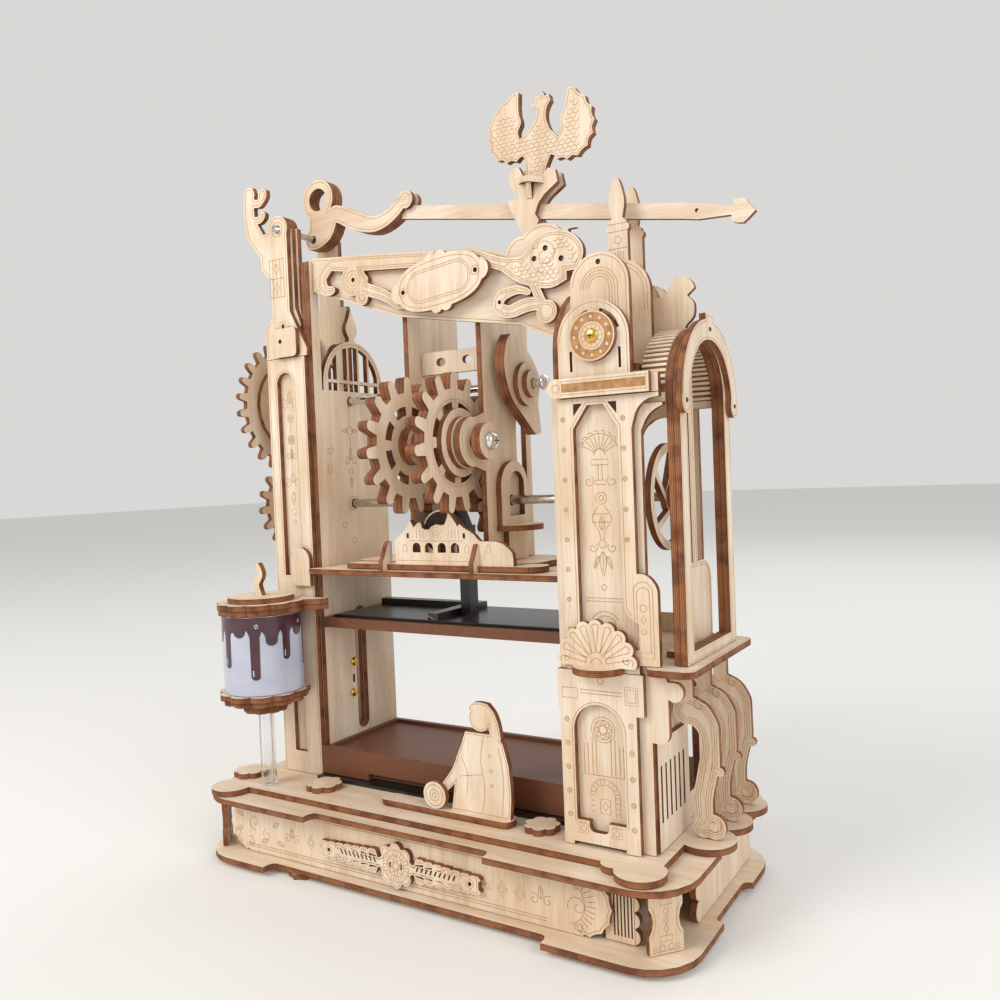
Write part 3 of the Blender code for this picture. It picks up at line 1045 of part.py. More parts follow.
def build_bay():
    """Type bed, platen and the pieces that stand in front of them."""
    left = LT_INNER + GAP
    right = RT_LEFT - GAP
    base = [rect(DECK_LEFT, right, DECK_FRONT, LT_FRONT + 0.0022), rect(left, right, LT_FRONT, LT_BACK)]
    piece("bed_base", BLACK_PLASTIC, [sheet("flat", FLOOR, base, thick=BED_BASE)])
    bed_z = FLOOR + BED_BASE + GAP
    shapes = [rect(DECK_LEFT, right, LT_FRONT, LT_FRONT + 0.0022), rect(left, right, LT_FRONT, LT_BACK)]
    floor = BED_TOP - TRAY_DEPTH
    notch = [rounded(-0.045, 0.006, LT_FRONT - 0.01, LT_FRONT + 0.0035, 0.002, 2)]
    bed = sheet("flat", bed_z, shapes, thick=BED_TOP - bed_z)
    tray = piece("type_bed", BROWN_PLASTIC, [bed])
    pocket = rect(left + TRAY_WALL, right - TRAY_WALL, LT_FRONT + TRAY_WALL, LT_BACK - TRAY_WALL)
    combine(tray, "bed_pocket", sheet("flat", floor, [pocket], thick=0.01), "DIFFERENCE")
    combine(tray, "bed_notch", sheet("flat", bed_z - 0.001, notch, thick=0.0042), "DIFFERENCE")

    axis = joint_axis("platen_axis", 0, DRIVE_Y, PLATEN_BOTTOM)
    p_left = LT_INNER + RUN
    p_right = RT_LEFT - RUN
    plate = sheet("flat", PLATEN_BOTTOM, [rect(p_left, p_right, PLATEN_FRONT, LT_BACK - 0.001)],
                  thick=PLATEN_HEIGHT)
    platen = piece("platen", BROWN_PLASTIC, [plate], axis)
    pocket_front = PLATEN_FRONT + TRAY_WALL
    pocket_back = LT_BACK - 0.001 - TRAY_WALL
    pocket = rect(p_left + TRAY_WALL, p_right - TRAY_WALL, pocket_front, pocket_back)
    pocket_z = PLATEN_BOTTOM + PLATEN_HEIGHT - TRAY_DEPTH
    combine(platen, "platen_pocket", sheet("flat", pocket_z, [pocket], thick=0.01), "DIFFERENCE", axis)
    insert_z = pocket_z + GAP
    edge = 0.004
    insert = sheet("flat", insert_z, [rect(p_left + edge, p_right - edge, pocket_front + 0.002,
                                           pocket_back - 0.002)], thick=0.0022)
    bar_z0 = insert_z + 0.0022 - WELD
    bar = sheet("flat", bar_z0, [rect(-0.012, -0.0065, pocket_front + 0.003, pocket_back - 0.004)],
                thick=0.003)
    bar_two = sheet("flat", bar_z0, [rect(p_left + edge, -0.0125, 0.020, 0.0255)], thick=0.003)
    pins = []
    pin_z = PLATEN_BOTTOM + PLATEN_HEIGHT / 2
    pins.append(rod("side", DRIVE_Y, pin_z, PLATEN_HEIGHT - 0.0006, p_left - GUIDE_LENGTH, p_left + WELD))
    pins.append(rod("side", DRIVE_Y, pin_z, PLATEN_HEIGHT - 0.0006, p_right - WELD, RT_LEFT + PLY - 0.0004))
    for number, pin in enumerate(pins):
        combine(platen, f"platen_pin_{number}", pin, "UNION", axis)
    ram_x = -0.0060
    ram_z = insert_z + 0.0022 - WELD
    ram = [rect(0.0035, 0.0105, ram_z, 0.152), band([(0.0060, 0.148, 0.008), (0.0010, 0.156, 0.008),
                                                     (-0.0015, 0.164, 0.007)], 3)]
    post = sheet("side", ram_x, ram, thick=0.005)
    piece("platen_insert", BLACK_PLASTIC, [insert, bar, bar_two, post], axis)


def build_figure():
    """Flat cut-out of a printer who rolls ink, on its strip."""
    y = -0.0350
    strip = sheet("flat", FLOOR, [rounded(-0.024, 0.041, y - 0.003, y + PLY + 0.003, 0.003, 2)])
    z0 = FLOOR + GLUED
    coat = [(0.0120, z0), (0.0400, z0), (0.0408, z0 + 0.010), (0.0400, z0 + 0.022), (0.0378, z0 + 0.030),
            (0.0350, z0 + 0.0335), (0.0200, z0 + 0.0335), (0.0175, z0 + 0.0270), (0.0150, z0 + 0.0220),
            (0.0140, z0 + 0.012)]
    head = circle(0.0272, z0 + 0.0395, 0.0052, 14)
    hair = band([(0.0240, z0 + 0.0435, 0.0040), (0.0300, z0 + 0.0435, 0.0050), (0.0335, z0 + 0.0380, 0.0048),
                 (0.0345, z0 + 0.0320, 0.0050)], 2)
    arm = band([(0.0205, z0 + 0.026, 0.0065), (0.0150, z0 + 0.016, 0.0050),
                (0.0060, z0 + 0.0060, 0.0032)], 2)
    figure = sheet("front", y, [coat, head, hair, arm])
    roller = sheet("front", y - GLUED, [circle(0.0050, z0 + 0.0058, 0.0056, 16)])
    piece("printer_figure", BIRCH, [strip, figure, roller])


def build_right_tower():
    """Wide tower on the right with its door, clock, ledge and pavilion."""
    z0 = FLOOR
    shapes = [rect(0.0660, 0.0968, z0, 0.0860), rect(0.0648 + 0.0005, 0.0998, 0.0855, DOOR_TOP)]
    cuts = [arch(0.0715, 0.0915, 0.0445, 0.0885, 10)]
    cuts.append(rounded(0.0765, 0.0845, 0.0405, 0.0460, 0.002, 2))
    cuts.append(rect(0.0700, 0.0912, z0 - 0.001, z0 + 0.0013))
    door = sheet("front", RT_FRONT, shapes, cuts)
    piece("tower_door_frame", BIRCH, [door])
    back_y = RT_FRONT + STEP
    shapes = [rect(RT_LEFT, 0.1015, z0, LEDGE_BOTTOM - GAP),
              rounded(0.090, 0.1080, 0.0760, LEDGE_BOTTOM - GAP, 0.003, 2)]
    shapes.append(rect(RT_LEFT, 0.1000, LEDGE_BOTTOM - 0.001, FRAME_TOP))
    shapes += [circle(0.1102, 0.0950, 0.0035, 14), band([(0.1060, 0.0965, 0.0035),
                                                         (0.1100, 0.0970, 0.0030)], 1)]
    porch_top = PAVILION_SPRING - GAP
    porch_right = PAVILION_X - STEP - GAP
    corner = [(PORCH_LEFT, 0.1500), (0.1009, 0.1500), (0.1011, 0.1883), (0.1041, 0.1935),
              (0.1070, 0.1957), (porch_right, 0.1967),
              (porch_right, porch_top), (PORCH_LEFT, porch_top)]
    shapes += [corner, rect(PORCH_LEFT, 0.1009, LEDGE_BOTTOM - 0.001, 0.1510)]
    piece("tower_backing", BIRCH, [sheet("front", back_y, shapes)])

    z1 = DOOR_TOP + GAP
    badge_z0 = LEDGE_BOTTOM + STEP
    shapes = [rect(FRAME_LEFT, FRAME_RIGHT, z1, UPPER_FRAME_TOP)]
    shapes.append([(0.0960, badge_z0), (0.1065, badge_z0), (0.1065, 0.1305), (0.1045, 0.1350),
                   (0.1010, 0.1372), (0.0960, 0.1372)])
    wing = [(0.0984, 0.1860), (0.0990, 0.1902), (0.1012, 0.1960), (0.1054, 0.1992), (0.1093, 0.1997),
            (0.1093, UPPER_FRAME_TOP),
            (0.0970, UPPER_FRAME_TOP), (0.0970, 0.1860)]
    octagon = [(0.0765, 0.112), (0.0925, 0.112), (0.0935, 0.118), (0.0935, 0.190), (0.0880, 0.1985),
               (0.0815, 0.1985),
               (0.0755, 0.190), (0.0755, 0.118)]
    flare = [(0.0920, 0.1085), (0.0990, 0.1100), (0.0990, 0.1190), (0.0957, 0.1215), (0.0935, 0.1260),
             (0.0920, 0.1260)]
    piece("tower_upper_frame", BIRCH, [sheet("front", RT_FRONT, shapes + [wing], [octagon, flare])])

    front = RT_FRONT - STEP
    shell = []
    lobes = 9
    for i in range(lobes):
        angle = math.radians(4 + 172 * i / (lobes - 1))
        reach = SHELL_RADIUS - 0.0028
        a = SHELL_X + reach * math.cos(angle)
        b = 0.1036 + reach * math.sin(angle)
        shell.append(band([(SHELL_X, 0.1045, 0.003), (a, b + 0.0008, 0.0056)], 1))
    shell.append(rect(SHELL_X - SHELL_RADIUS + 0.003, SHELL_X + SHELL_RADIUS - 0.003, 0.1033, 0.1065))
    shelf = sheet("flat", 0.1033 - GLUED, [arc(SHELL_X, RT_FRONT - GAP, 0.0100, 180, 360, 10)])
    piece("tower_shell", BIRCH, [sheet("front", front, shell), shelf])

    clock_z0 = UPPER_FRAME_TOP + GAP
    shapes = [arch(0.0705, 0.0990, clock_z0, CLOCK_FRAME_TOP, 14), rect(0.0980, 0.1093, clock_z0, FRAME_TOP)]
    frame = sheet("front", RT_FRONT, shapes, [circle(CLOCK_X, CLOCK_Z, 0.0011, 8)])
    on_frame = RT_FRONT - GLUED
    strip = sheet("front", on_frame, [rect(0.0705, 0.1068, clock_z0, FRAME_TOP + 0.0006),
                                      circle(0.0697, clock_z0 + 0.0036, 0.0036)])
    face = sheet("front", on_frame, [circle(CLOCK_X, CLOCK_Z, CLOCK_RADIUS, 24)],
                 [circle(CLOCK_X, CLOCK_Z, 0.0011, 8)])
    piece("tower_clock", BIRCH, [frame, strip, face])

    wall_y = back_y + STEP
    holes = [circle(DRIVE_Y, DRIVE_Z, DRIVE_ROD / 2 + ROD_FIT, 12)]
    shapes = [rect(wall_y, RT_BACK, z0, 0.2095), arch(wall_y, 0.022, 0.200, 0.246, 12)]
    inner = sheet("side", RT_LEFT, shapes, holes + [guide_slot(), arch(0.002, 0.016, 0.2150, 0.236)])
    piece("bay_wall_right", BIRCH, [inner])
    rear_y = LEDGE_BACK + GAP
    side = sheet("side", RT_SIDE, [rect(wall_y, rear_y - GAP, z0, LEDGE_BOTTOM - GAP)],
                 [arch(0.001, 0.018, 0.045, 0.090)])
    back_x0 = RT_LEFT + STEP
    shapes = [rect(back_x0, 0.0990, z0, 0.2095)]
    cuts = [arch(0.0745, 0.0920, 0.050, 0.092), arch(0.0730, 0.0940, 0.112, 0.196)]
    piece("tower_rear", BIRCH, [sheet("front", rear_y, shapes, cuts)])

    shapes = [rounded(0.1018, LEDGE_RIGHT, LEDGE_FRONT, LEDGE_BACK, 0.004, 3),
              rect(back_x0, 0.106, wall_y, LEDGE_BACK)]
    ledge = sheet("flat", LEDGE_BOTTOM, shapes)

    scrolls = []
    for i in range(SCROLL_COUNT):
        y = SCROLL_FRONT + SCROLL_PITCH * i
        arm = band([(0.1055, 0.0830, 0.0110), (0.1108, 0.0813, 0.0100), (0.1142, 0.0760, 0.0082),
                    (0.1148, 0.0700, 0.0072),
                    (0.1145, 0.0645, 0.0077), (0.1128, 0.0575, 0.0076), (0.1113, 0.0500, 0.0076),
                    (0.1115, 0.0425, 0.0072)], 2)
        toes = [circle(0.1150, z0 + 0.0048, 0.0048, 12), circle(0.1112, z0 + 0.0040, 0.0040, 12),
                circle(0.1180, 0.0608, 0.0018, 8)]
        top = rect(0.1028, 0.1085, 0.0800, LEDGE_BOTTOM + WELD)
        scrolls.append(sheet("front", y, [arm, top] + toes))
    porch_z0 = LEDGE_BOTTOM + GLUED
    stairs = [(0.1020, -0.0200), (0.1100, -0.0200), (0.1100, -0.0100), (0.1090, -0.0100),
              (0.1090, 0.0000), (0.1075, 0.0000),
              (0.1075, 0.0100), (0.1060, 0.0100), (0.1060, 0.0220), (0.1020, 0.0220)]
    scrolls.append(sheet("flat", porch_z0, [stairs]))
    parapet = rounded(-0.0140, 0.0160, porch_z0 - 0.002, 0.1380, 0.0085, 3)
    column = rect(-0.0045, 0.0010, 0.1300, 0.2130)
    scrolls.append(sheet("side", 0.1052, [parapet, column]))
    piece("ledge_and_scrolls", BIRCH, [ledge] + scrolls)
    slits = [rect(-0.030 + 0.0045 * i, -0.0285 + 0.0045 * i, 0.045, 0.066) for i in range(6)]
    box = sheet("side", RT_SIDE + GLUED, [rect(wall_y, -0.0010, z0, 0.0750)], slits)
    piece("tower_side", BIRCH, [side, box])


def build_pavilion():
    """Open arched porch above the ledge, its vault and the roof behind the clock."""
    z0 = LEDGE_BOTTOM + STEP
    radius = (PAVILION_BACK - PAVILION_FRONT) / 2
    middle = (PAVILION_BACK + PAVILION_FRONT) / 2
    top = PAVILION_SPRING + radius
    post = PAVILION_POST
    shapes = [arch(PAVILION_FRONT, PAVILION_BACK, z0, top, 18)]
    cuts = [arch(PAVILION_FRONT + post, PAVILION_BACK - post, z0 + 0.004, top - 0.0045, 18)]
    board = sheet("side", PAVILION_X - GLUED, shapes, cuts, thick=PLY + GLUED)
    ring = arc(middle, PAVILION_SPRING, radius + 0.003, 0, 180, 18) + arc(middle, PAVILION_SPRING,
                                                                          radius - 0.0045, 180, 0, 18)
    key = [(middle - 0.0035, top - 0.0045), (middle + 0.0035, top - 0.0045), (middle + 0.0045, top + 0.005),
           (middle - 0.0045, top + 0.005)]
    feet = [circle(middle - radius + 0.0010, PAVILION_SPRING, 0.0045),
            circle(middle + radius - 0.0010, PAVILION_SPRING, 0.0045)]
    front = sheet("side", PAVILION_X + GLUED, [ring, key] + feet)
    piece("pavilion_arch", BIRCH, [board, front])
    x0 = 0.1003
    outer = radius
    vault = arc(middle, PAVILION_SPRING, outer, 0, 180, 18) + arc(middle, PAVILION_SPRING,
                                                                  outer - 2 * PLY, 180, 0, 18)
    depth = PAVILION_X - GLUED - GAP - x0
    roof_z = PAVILION_SPRING + outer - 0.0010
    rooster = blob([(0.0960, roof_z), (0.1065, roof_z), (0.1090, roof_z + 0.0030), (0.1118, roof_z + 0.0060),
                    (0.1120, roof_z + 0.0110), (0.1095, roof_z + 0.0140), (0.1125, roof_z + 0.0165),
                    (0.1100, roof_z + 0.0205),
                    (0.1060, roof_z + 0.0212), (0.1025, roof_z + 0.0180), (0.1005, roof_z + 0.0140),
                    (0.0960, roof_z + 0.0145),
                    (0.0915, roof_z + 0.0120), (0.0925, roof_z + 0.0040)], 2)
    piece("pavilion_vault", BIRCH, [sheet("side", x0, [vault], thick=depth),
                                    sheet("front", middle - PLY / 2, [rooster])])

    cap_z = FRAME_TOP + 0.0018
    wall_y = RT_FRONT + 2 * STEP
    cap = sheet("flat", cap_z + GAP, [rect(RT_LEFT + STEP, 0.0990, wall_y, 0.028)])
    rise = cap_z + GAP + GLUED
    left = TOP_ARCH_LEFT
    right = TOP_ARCH_RIGHT
    screw = circle((left + right) / 2 - 0.0005, TOP_ARCH_HEIGHT - 0.0045, 0.0010, 8)
    layers = [cap]
    for at, lower in ((wall_y, 0), (-0.0120, 0.0010)):
        layers.append(sheet("front", at, [arch(left, right, rise, TOP_ARCH_HEIGHT - lower, 14)], [screw]))
    for at in (LEVER_Y - PLY / 2 - 0.0050 - PLY, LEVER_Y + PLY / 2 + 0.0050):
        body = [arch(left + 0.0005, right - 0.0010, rise, 0.2500, 12)]
        body.append(rect(FINIAL_X - 0.0052, FINIAL_X + 0.0052, 0.2450, 0.2625))
        body.append(circle(FINIAL_X - 0.0052, 0.2600, 0.0022, 8))
        body.append(circle(FINIAL_X + 0.0052, 0.2600, 0.0022, 8))
        body.append(blob([(FINIAL_X - 0.0040, 0.2600), (FINIAL_X + 0.0040, 0.2600),
                          (FINIAL_X + 0.0034, 0.2690),
                          (FINIAL_X + 0.0034, 0.2780), (FINIAL_X + 0.0014, 0.2875), (FINIAL_X, FINIAL_TOP),
                          (FINIAL_X - 0.0014, 0.2875), (FINIAL_X - 0.0034, 0.2780),
                          (FINIAL_X - 0.0034, 0.2690)], 2))
        layers.append(sheet("front", at, body))
    piece("tower_top", BIRCH, layers)


def build_bucket():
    """Ink bucket held by two lobed plates in front of the left tower."""
    x = BUCKET_X
    y = BUCKET_Y
    wall = sheet("flat", BUCKET_BOTTOM, [circle(x, y, BUCKET_RADIUS, 36)],
                 [circle(x, y, BUCKET_RADIUS - BUCKET_WALL, 36)],
                 thick=BUCKET_HEIGHT)
    piece("ink_bucket", BUCKET_WHITE, [wall], round_faces=True)
    plates = []
    back = LT_FRONT - GAP
    low_reach = [rect(x - 0.012, x + 0.012, y, back - STEP)]
    high_reach = low_reach + [[(x + 0.006, y + 0.002), (-0.0640, back - STEP - 0.004),
                               (-0.0620, back - STEP), (x + 0.006, back - STEP)]]
    behind = rect(x - 0.03, x + 0.05, back, back + 0.03)
    under = BUCKET_BOTTOM - GAP - PLY
    over = BUCKET_BOTTOM + BUCKET_HEIGHT + GAP
    for z, grow in ((under, 1.0), (under - GLUED, 0.92)):
        plates.append(sheet("flat", z, [scallop(x, y, 0.0205 * grow, 11, 0.0018, 3)] + low_reach, [behind]))
    low = under - GLUED
    for i, radius in enumerate((0.0095, 0.0100)):
        plates.append(sheet("flat", low - GLUED * (i + 1), [scallop(x, y, radius, 9, 0.0010)]))
    piece("bucket_seat", BIRCH, plates)
    lid = []
    for z, grow in ((over, 0.98), (over + GLUED, 1.0)):
        lid.append(sheet("flat", z, [scallop(x, y, 0.0205 * grow, 11, 0.0018, 3)] + high_reach, [behind]))
    z = over + 2 * GLUED
    lid.append(sheet("flat", z, [circle(x, y, 0.0150, 24)]))
    base = z + PLY - WELD
    hook = [band([(x, base + 0.001, 0.004), (x - 0.0015, base + 0.0060, 0.0035),
                  (x + 0.0012, base + 0.0110, 0.0030),
                  (x - 0.0008, base + 0.0150, 0.0022)], 3), rect(x - 0.003, x + 0.003, base, base + 0.002)]
    lid.append(sheet("front", y - PLY / 2, hook))
    piece("bucket_lid", BIRCH, lid)
    tube_top = low - 2 * GLUED - GAP
    tubes = sheet("flat", FLOOR, [circle(x, y, 0.0035, 14)], [circle(x, y, 0.0022, 14)],
                  thick=tube_top - FLOOR)
    piece("bucket_tube", ACRYLIC, [tubes], round_faces=True)


def main():
    clear_scene()
    build_base()
    build_left_tower()
    lever = joint_axis("lever_axis", LEVER_X, LEVER_Y, LEVER_Z)
    build_lever(lever)
    pivot = rod("front", LEVER_X, LEVER_Z, LEVER_ROD, LT_FRONT - 0.002, LEVER_Y + PLY * 2.5 + STEP + 0.001)
    piece("lever_pivot", STEEL, [pivot], round_faces=True)
    build_centre()
    build_shafts()
    build_crest()
    build_deck()
    build_bay()
    build_figure()
    build_right_tower()
    build_pavilion()
    build_bucket()
    root = joint_axis("model_origin", -ORIGIN_X, 0, 0)
    for obj in list(bpy.data.objects):
        if obj.parent is None and obj is not root:
            obj.parent = root
    bpy.context.view_layer.update()


main()
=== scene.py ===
"""Looks of the wooden printing press model: scorched plywood, engraved lines, metal caps and printed film.

Sizes in the functions that draw pieces are in millimetres, measured from the middle of the base.
"""
import json
import math

import bmesh
import bpy
from mathutils import Matrix, Vector
from mathutils.geometry import delaunay_2d_cdt

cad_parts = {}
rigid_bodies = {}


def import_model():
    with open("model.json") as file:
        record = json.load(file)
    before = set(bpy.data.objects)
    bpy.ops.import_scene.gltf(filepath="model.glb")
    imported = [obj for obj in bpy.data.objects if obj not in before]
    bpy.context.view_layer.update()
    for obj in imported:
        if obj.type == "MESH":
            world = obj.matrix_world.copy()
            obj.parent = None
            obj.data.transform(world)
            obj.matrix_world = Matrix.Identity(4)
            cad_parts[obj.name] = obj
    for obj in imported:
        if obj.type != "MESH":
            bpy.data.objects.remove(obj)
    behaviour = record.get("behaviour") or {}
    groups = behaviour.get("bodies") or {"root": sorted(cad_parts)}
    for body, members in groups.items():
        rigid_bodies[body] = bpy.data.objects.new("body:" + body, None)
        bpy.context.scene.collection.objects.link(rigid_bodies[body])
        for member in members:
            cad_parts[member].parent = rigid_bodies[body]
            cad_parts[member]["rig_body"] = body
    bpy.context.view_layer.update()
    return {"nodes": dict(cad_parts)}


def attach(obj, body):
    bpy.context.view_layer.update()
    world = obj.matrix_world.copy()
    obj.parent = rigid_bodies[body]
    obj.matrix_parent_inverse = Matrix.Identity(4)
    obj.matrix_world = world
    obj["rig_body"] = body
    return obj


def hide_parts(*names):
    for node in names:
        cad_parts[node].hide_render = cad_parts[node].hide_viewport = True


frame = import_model()

# The base's middle lies this far left of the model's origin
BASE_SHIFT = 7.0
# Thickness of a sheet, and of one layer where sheets are glued
PLY = 2.5
LAYER = 2.4
# A burnt line stands this far off its sheet
PROUD = 0.05
# Ends of an outline closer than this make it a closed one
SAME = 1e-6
# Node meshes are welded at this distance, in metres
WELD = 0.000002
# A coarse arc has edges of about this length and turns by up to so many degrees at each
COARSE = 5.5
CORNER = 40
# Points added to an edge that is bent into a curve
BEND_POINTS = 2
# Bows lower than this, in metres, stay straight, and added points are looked up in half micrometres
LEAST_BOW = 0.000008
HALF_MICRONS = 2e6
# Lengths under this are taken for none
TINY = 1e-9


# ---- Colours and materials ----

def colour(code):
    """Linear colour of an sRGB hex value."""
    parts = [int(code[i:i + 2], 16) / 255 for i in (1, 3, 5)]
    linear = [p / 12.92 if p <= 0.04045 else ((p + 0.055) / 1.055) ** 2.4 for p in parts]
    return (*linear, 1.0)


def add(tree, kind, settings=None, links=None):
    """Adds a node to a tree with its settings and the sockets that feed it."""
    made = tree.nodes.new(kind)
    for key, value in (settings or {}).items():
        if key == "stops":
            stops = made.color_ramp.elements
            while len(stops) < len(value):
                stops.new(0.5)
            for stop, (place, code) in zip(stops, value):
                stop.position = place
                stop.color = colour(code)
        elif isinstance(key, int) or key in made.inputs:
            made.inputs[key].default_value = value
        else:
            setattr(made, key, value)
    for key, source in (links or {}).items():
        tree.links.new(source, made.inputs[key])
    return made


def material(name, settings):
    """Empty material with a Principled shader of these settings."""
    made = bpy.data.materials.new(name)
    made.use_nodes = True
    tree = made.node_tree
    shader = tree.nodes["Principled BSDF"]
    for key, value in settings.items():
        shader.inputs[key].default_value = value
    return made, tree, shader


def noise(tree, place, scale, detail, settings=None):
    """Value of a noise texture at a place."""
    made = add(tree, "ShaderNodeTexNoise", {"Scale": scale, "Detail": detail, **(settings or {})},
               {"Vector": place})
    return made.outputs["Fac"]


def ramp(tree, value, *stops):
    """Colour that a value picks between stops."""
    return add(tree, "ShaderNodeValToRGB", {"stops": stops}, {"Fac": value}).outputs["Color"]


def multiplied(tree, share, first, second):
    """Colour darkened by a share of a second one."""
    settings = {"data_type": "RGBA", "blend_type": "MULTIPLY", 0: share}
    return add(tree, "ShaderNodeMix", settings, {6: first, 7: second}).outputs[2]


def coat(tree, shader, tone, height, strength, distance):
    """Gives a shader its colour and its bump."""
    bump = add(tree, "ShaderNodeBump", {"Strength": strength, "Distance": distance}, {"Height": height})
    tree.links.new(tone, shader.inputs["Base Color"])
    tree.links.new(bump.outputs["Normal"], shader.inputs["Normal"])


def birch_veneer(name, along):
    """Sanded rotary cut birch veneer: pale, matt, with silky fibres about 0.6 mm apart that run along
    the sheet, soft cream and honey clouds, and a faint tan haze that laser smoke leaves."""
    made, tree, shader = material(name, {"Roughness": 0.62, "IOR": 1.45})
    place = add(tree, "ShaderNodeTexCoord").outputs["Object"]
    stretched = []
    for across_scale, along_scale in ((1600.0, 70.0), (150.0, 11.0)):
        scale = [across_scale] * 3
        scale[along] = along_scale
        stretched.append(add(tree, "ShaderNodeMapping", {"Scale": scale},
                             {"Vector": place}).outputs["Vector"])
    fibre = noise(tree, stretched[0], 1.0, 3.0, {"Roughness": 0.6})
    cloud = noise(tree, stretched[1], 1.0, 4.0, {"Distortion": 0.6})
    haze = noise(tree, place, 28.0, 2.0)
    base = ramp(tree, cloud, (0.30, "#D8C3AA"), (0.52, "#E2D0BA"), (0.74, "#ECDFCC"))
    streak = ramp(tree, fibre, (0.36, "#D9BF9C"), (0.52, "#FFFFFF"), (0.66, "#FFFFFF"))
    tint = ramp(tree, haze, (0.42, "#FFFFFF"), (0.74, "#ECDAC3"))
    grained = multiplied(tree, 0.30, base, streak)
    coat(tree, shader, multiplied(tree, 0.7, grained, tint), fibre, 0.10, 0.00012)
    return made


def scorched_edge():
    """Laser cut plywood edge: burnt brown, with the plies and the seams between glued sheets showing as
    darker lines along the edge and fine burn marks across it."""
    made, tree, shader = material("scorched_plywood_edge", {"Roughness": 0.72, "IOR": 1.45})
    plies = add(tree, "ShaderNodeUVMap", {"uv_map": "plies"})
    depth = add(tree, "ShaderNodeSeparateXYZ", {}, {"Vector": plies.outputs["UV"]})
    part = add(tree, "ShaderNodeMath", {"operation": "FRACT"}, {0: depth.outputs["Y"]})
    bands = ramp(tree, part.outputs["Value"], (0.0, "#3A1D0F"), (0.08, "#7E4A28"), (0.30, "#A2683E"),
                 (0.40, "#693A1F"), (0.56, "#A66D42"), (0.68, "#6C3D21"), (0.88, "#95603A"), (1.0, "#3A1D0F"))
    patch = noise(tree, add(tree, "ShaderNodeTexCoord").outputs["Object"], 160.0, 3.0)
    char = ramp(tree, patch, (0.34, "#A88C76"), (0.56, "#FFFFFF"))
    tree.links.new(multiplied(tree, 0.8, bands, char), shader.inputs["Base Color"])
    return made


def speckled(name, settings, dark, light, scale, bump_height):
    """Moulded or drawn surface whose tone wanders a little over the given scale, with a fine bump."""
    made, tree, shader = material(name, settings)
    grain = noise(tree, add(tree, "ShaderNodeTexCoord").outputs["Object"], scale, 3.0)
    coat(tree, shader, ramp(tree, grain, (0.35, dark), (0.65, light)), grain, 0.15, bump_height)
    return made


veneer_upright = birch_veneer("birch_veneer_grain_upright", 2)
veneer_level = birch_veneer("birch_veneer_grain_level", 0)
edge_burn = scorched_edge()
# Laser engraving: a shallow brown line, lighter than the cut edge
engraved = speckled("laser_engraved_line", {"Roughness": 0.8}, "#A98359", "#BF9B72", 400.0, 0.00005)
engraved_dark = speckled("laser_engraved_fill", {"Roughness": 0.8}, "#9C6E43", "#B98A5B", 400.0, 0.00005)
# Painted shade: slots and gaps right through the sheets, and the deck dome's face, get a flat black brown
# that stands in for the shade seen in them
shade_fill = speckled("painted_shade_slot", {"Roughness": 0.85}, "#2B180E", "#3C2416", 300.0, 0.00003)
# Injection moulded ABS with a satin skin
brown_abs = speckled("satin_brown_abs", {"Roughness": 0.42, "IOR": 1.42}, "#663C26", "#724830", 900.0,
                     0.00004)
black_abs = speckled("satin_black_abs", {"Roughness": 0.30, "IOR": 1.53}, "#1C1817", "#262120", 900.0,
                     0.00004)
# Cold drawn steel rod, and polished chrome on the caps and screws
steel = speckled("drawn_steel", {"Roughness": 0.26, "Metallic": 1.0}, "#B4B0AA", "#CBC7C1", 700.0, 0.00003)
chrome = speckled("polished_chrome", {"Roughness": 0.07, "Metallic": 1.0}, "#D9D9DB", "#E6E6E8", 200.0,
                  0.00001)
brass = speckled("brass_screw", {"Roughness": 0.20, "Metallic": 1.0}, "#D2A24C", "#E3BC69", 300.0, 0.00002)
# Printed plastic film round the bucket: pale lilac white, and glossy plum coloured drips
bucket_film = speckled("white_film", {"Roughness": 0.30, "Coat Weight": 0.3}, "#AEB2C3", "#BDC0CE", 60.0,
                       0.00002)
drip_print = speckled("plum_ink_print", {"Roughness": 0.24, "Coat Weight": 0.25}, "#3C1C24", "#4B2731", 120.0,
                      0.00002)
# Extruded acrylic tube: clear, hard edged highlights
acrylic = speckled("clear_acrylic", {"Roughness": 0.04, "IOR": 1.30, "Transmission Weight": 1.0}, "#F4F7F8",
                   "#FFFFFF", 40.0, 0.00001)


# ---- Outlines in a sheet's plane ----

def rect(a0, a1, b0, b1):
    return [(a0, b0), (a1, b0), (a1, b1), (a0, b1)]


def arc(a, b, radius, start, end, steps):
    points = []
    for i in range(steps + 1):
        angle = math.radians(start + (end - start) * i / steps)
        points.append((a + radius * math.cos(angle), b + radius * math.sin(angle)))
    return points


def ring(a, b, radius, steps=32):
    """Closed round line, its last point on its first."""
    return arc(a, b, radius, 0, 360, steps)


def arch(a0, a1, b0, b1, steps=16):
    """Closed line round an opening with a half round head."""
    radius = (a1 - a0) / 2
    return [(a0, b0), (a1, b0)] + arc(a0 + radius, b1 - radius, radius, 0, 180, steps) + [(a0, b0)]


def closed(points):
    return list(points) + [points[0]]


def spline(points, steps=6, loop=False):
    """Catmull-Rom curve through the points."""
    count = len(points)
    result = []
    for i in range(count if loop else count - 1):
        p1 = points[i]
        p2 = points[(i + 1) % count]
        p0 = points[i - 1] if loop or i > 0 else p1
        p3 = points[(i + 2) % count] if loop or i + 2 < count else p2
        for k in range(steps):
            t = k / steps
            point = []
            for c0, c1, c2, c3 in zip(p0, p1, p2, p3):
                value = 2 * c1 + (c2 - c0) * t + (2 * c0 - 5 * c1 + 4 * c2 - c3) * t * t
                point.append((value + (3 * c1 - c0 - 3 * c2 + c3) * t ** 3) / 2)
            result.append(tuple(point))
    result.append(tuple(points[0] if loop else points[-1]))
    return result


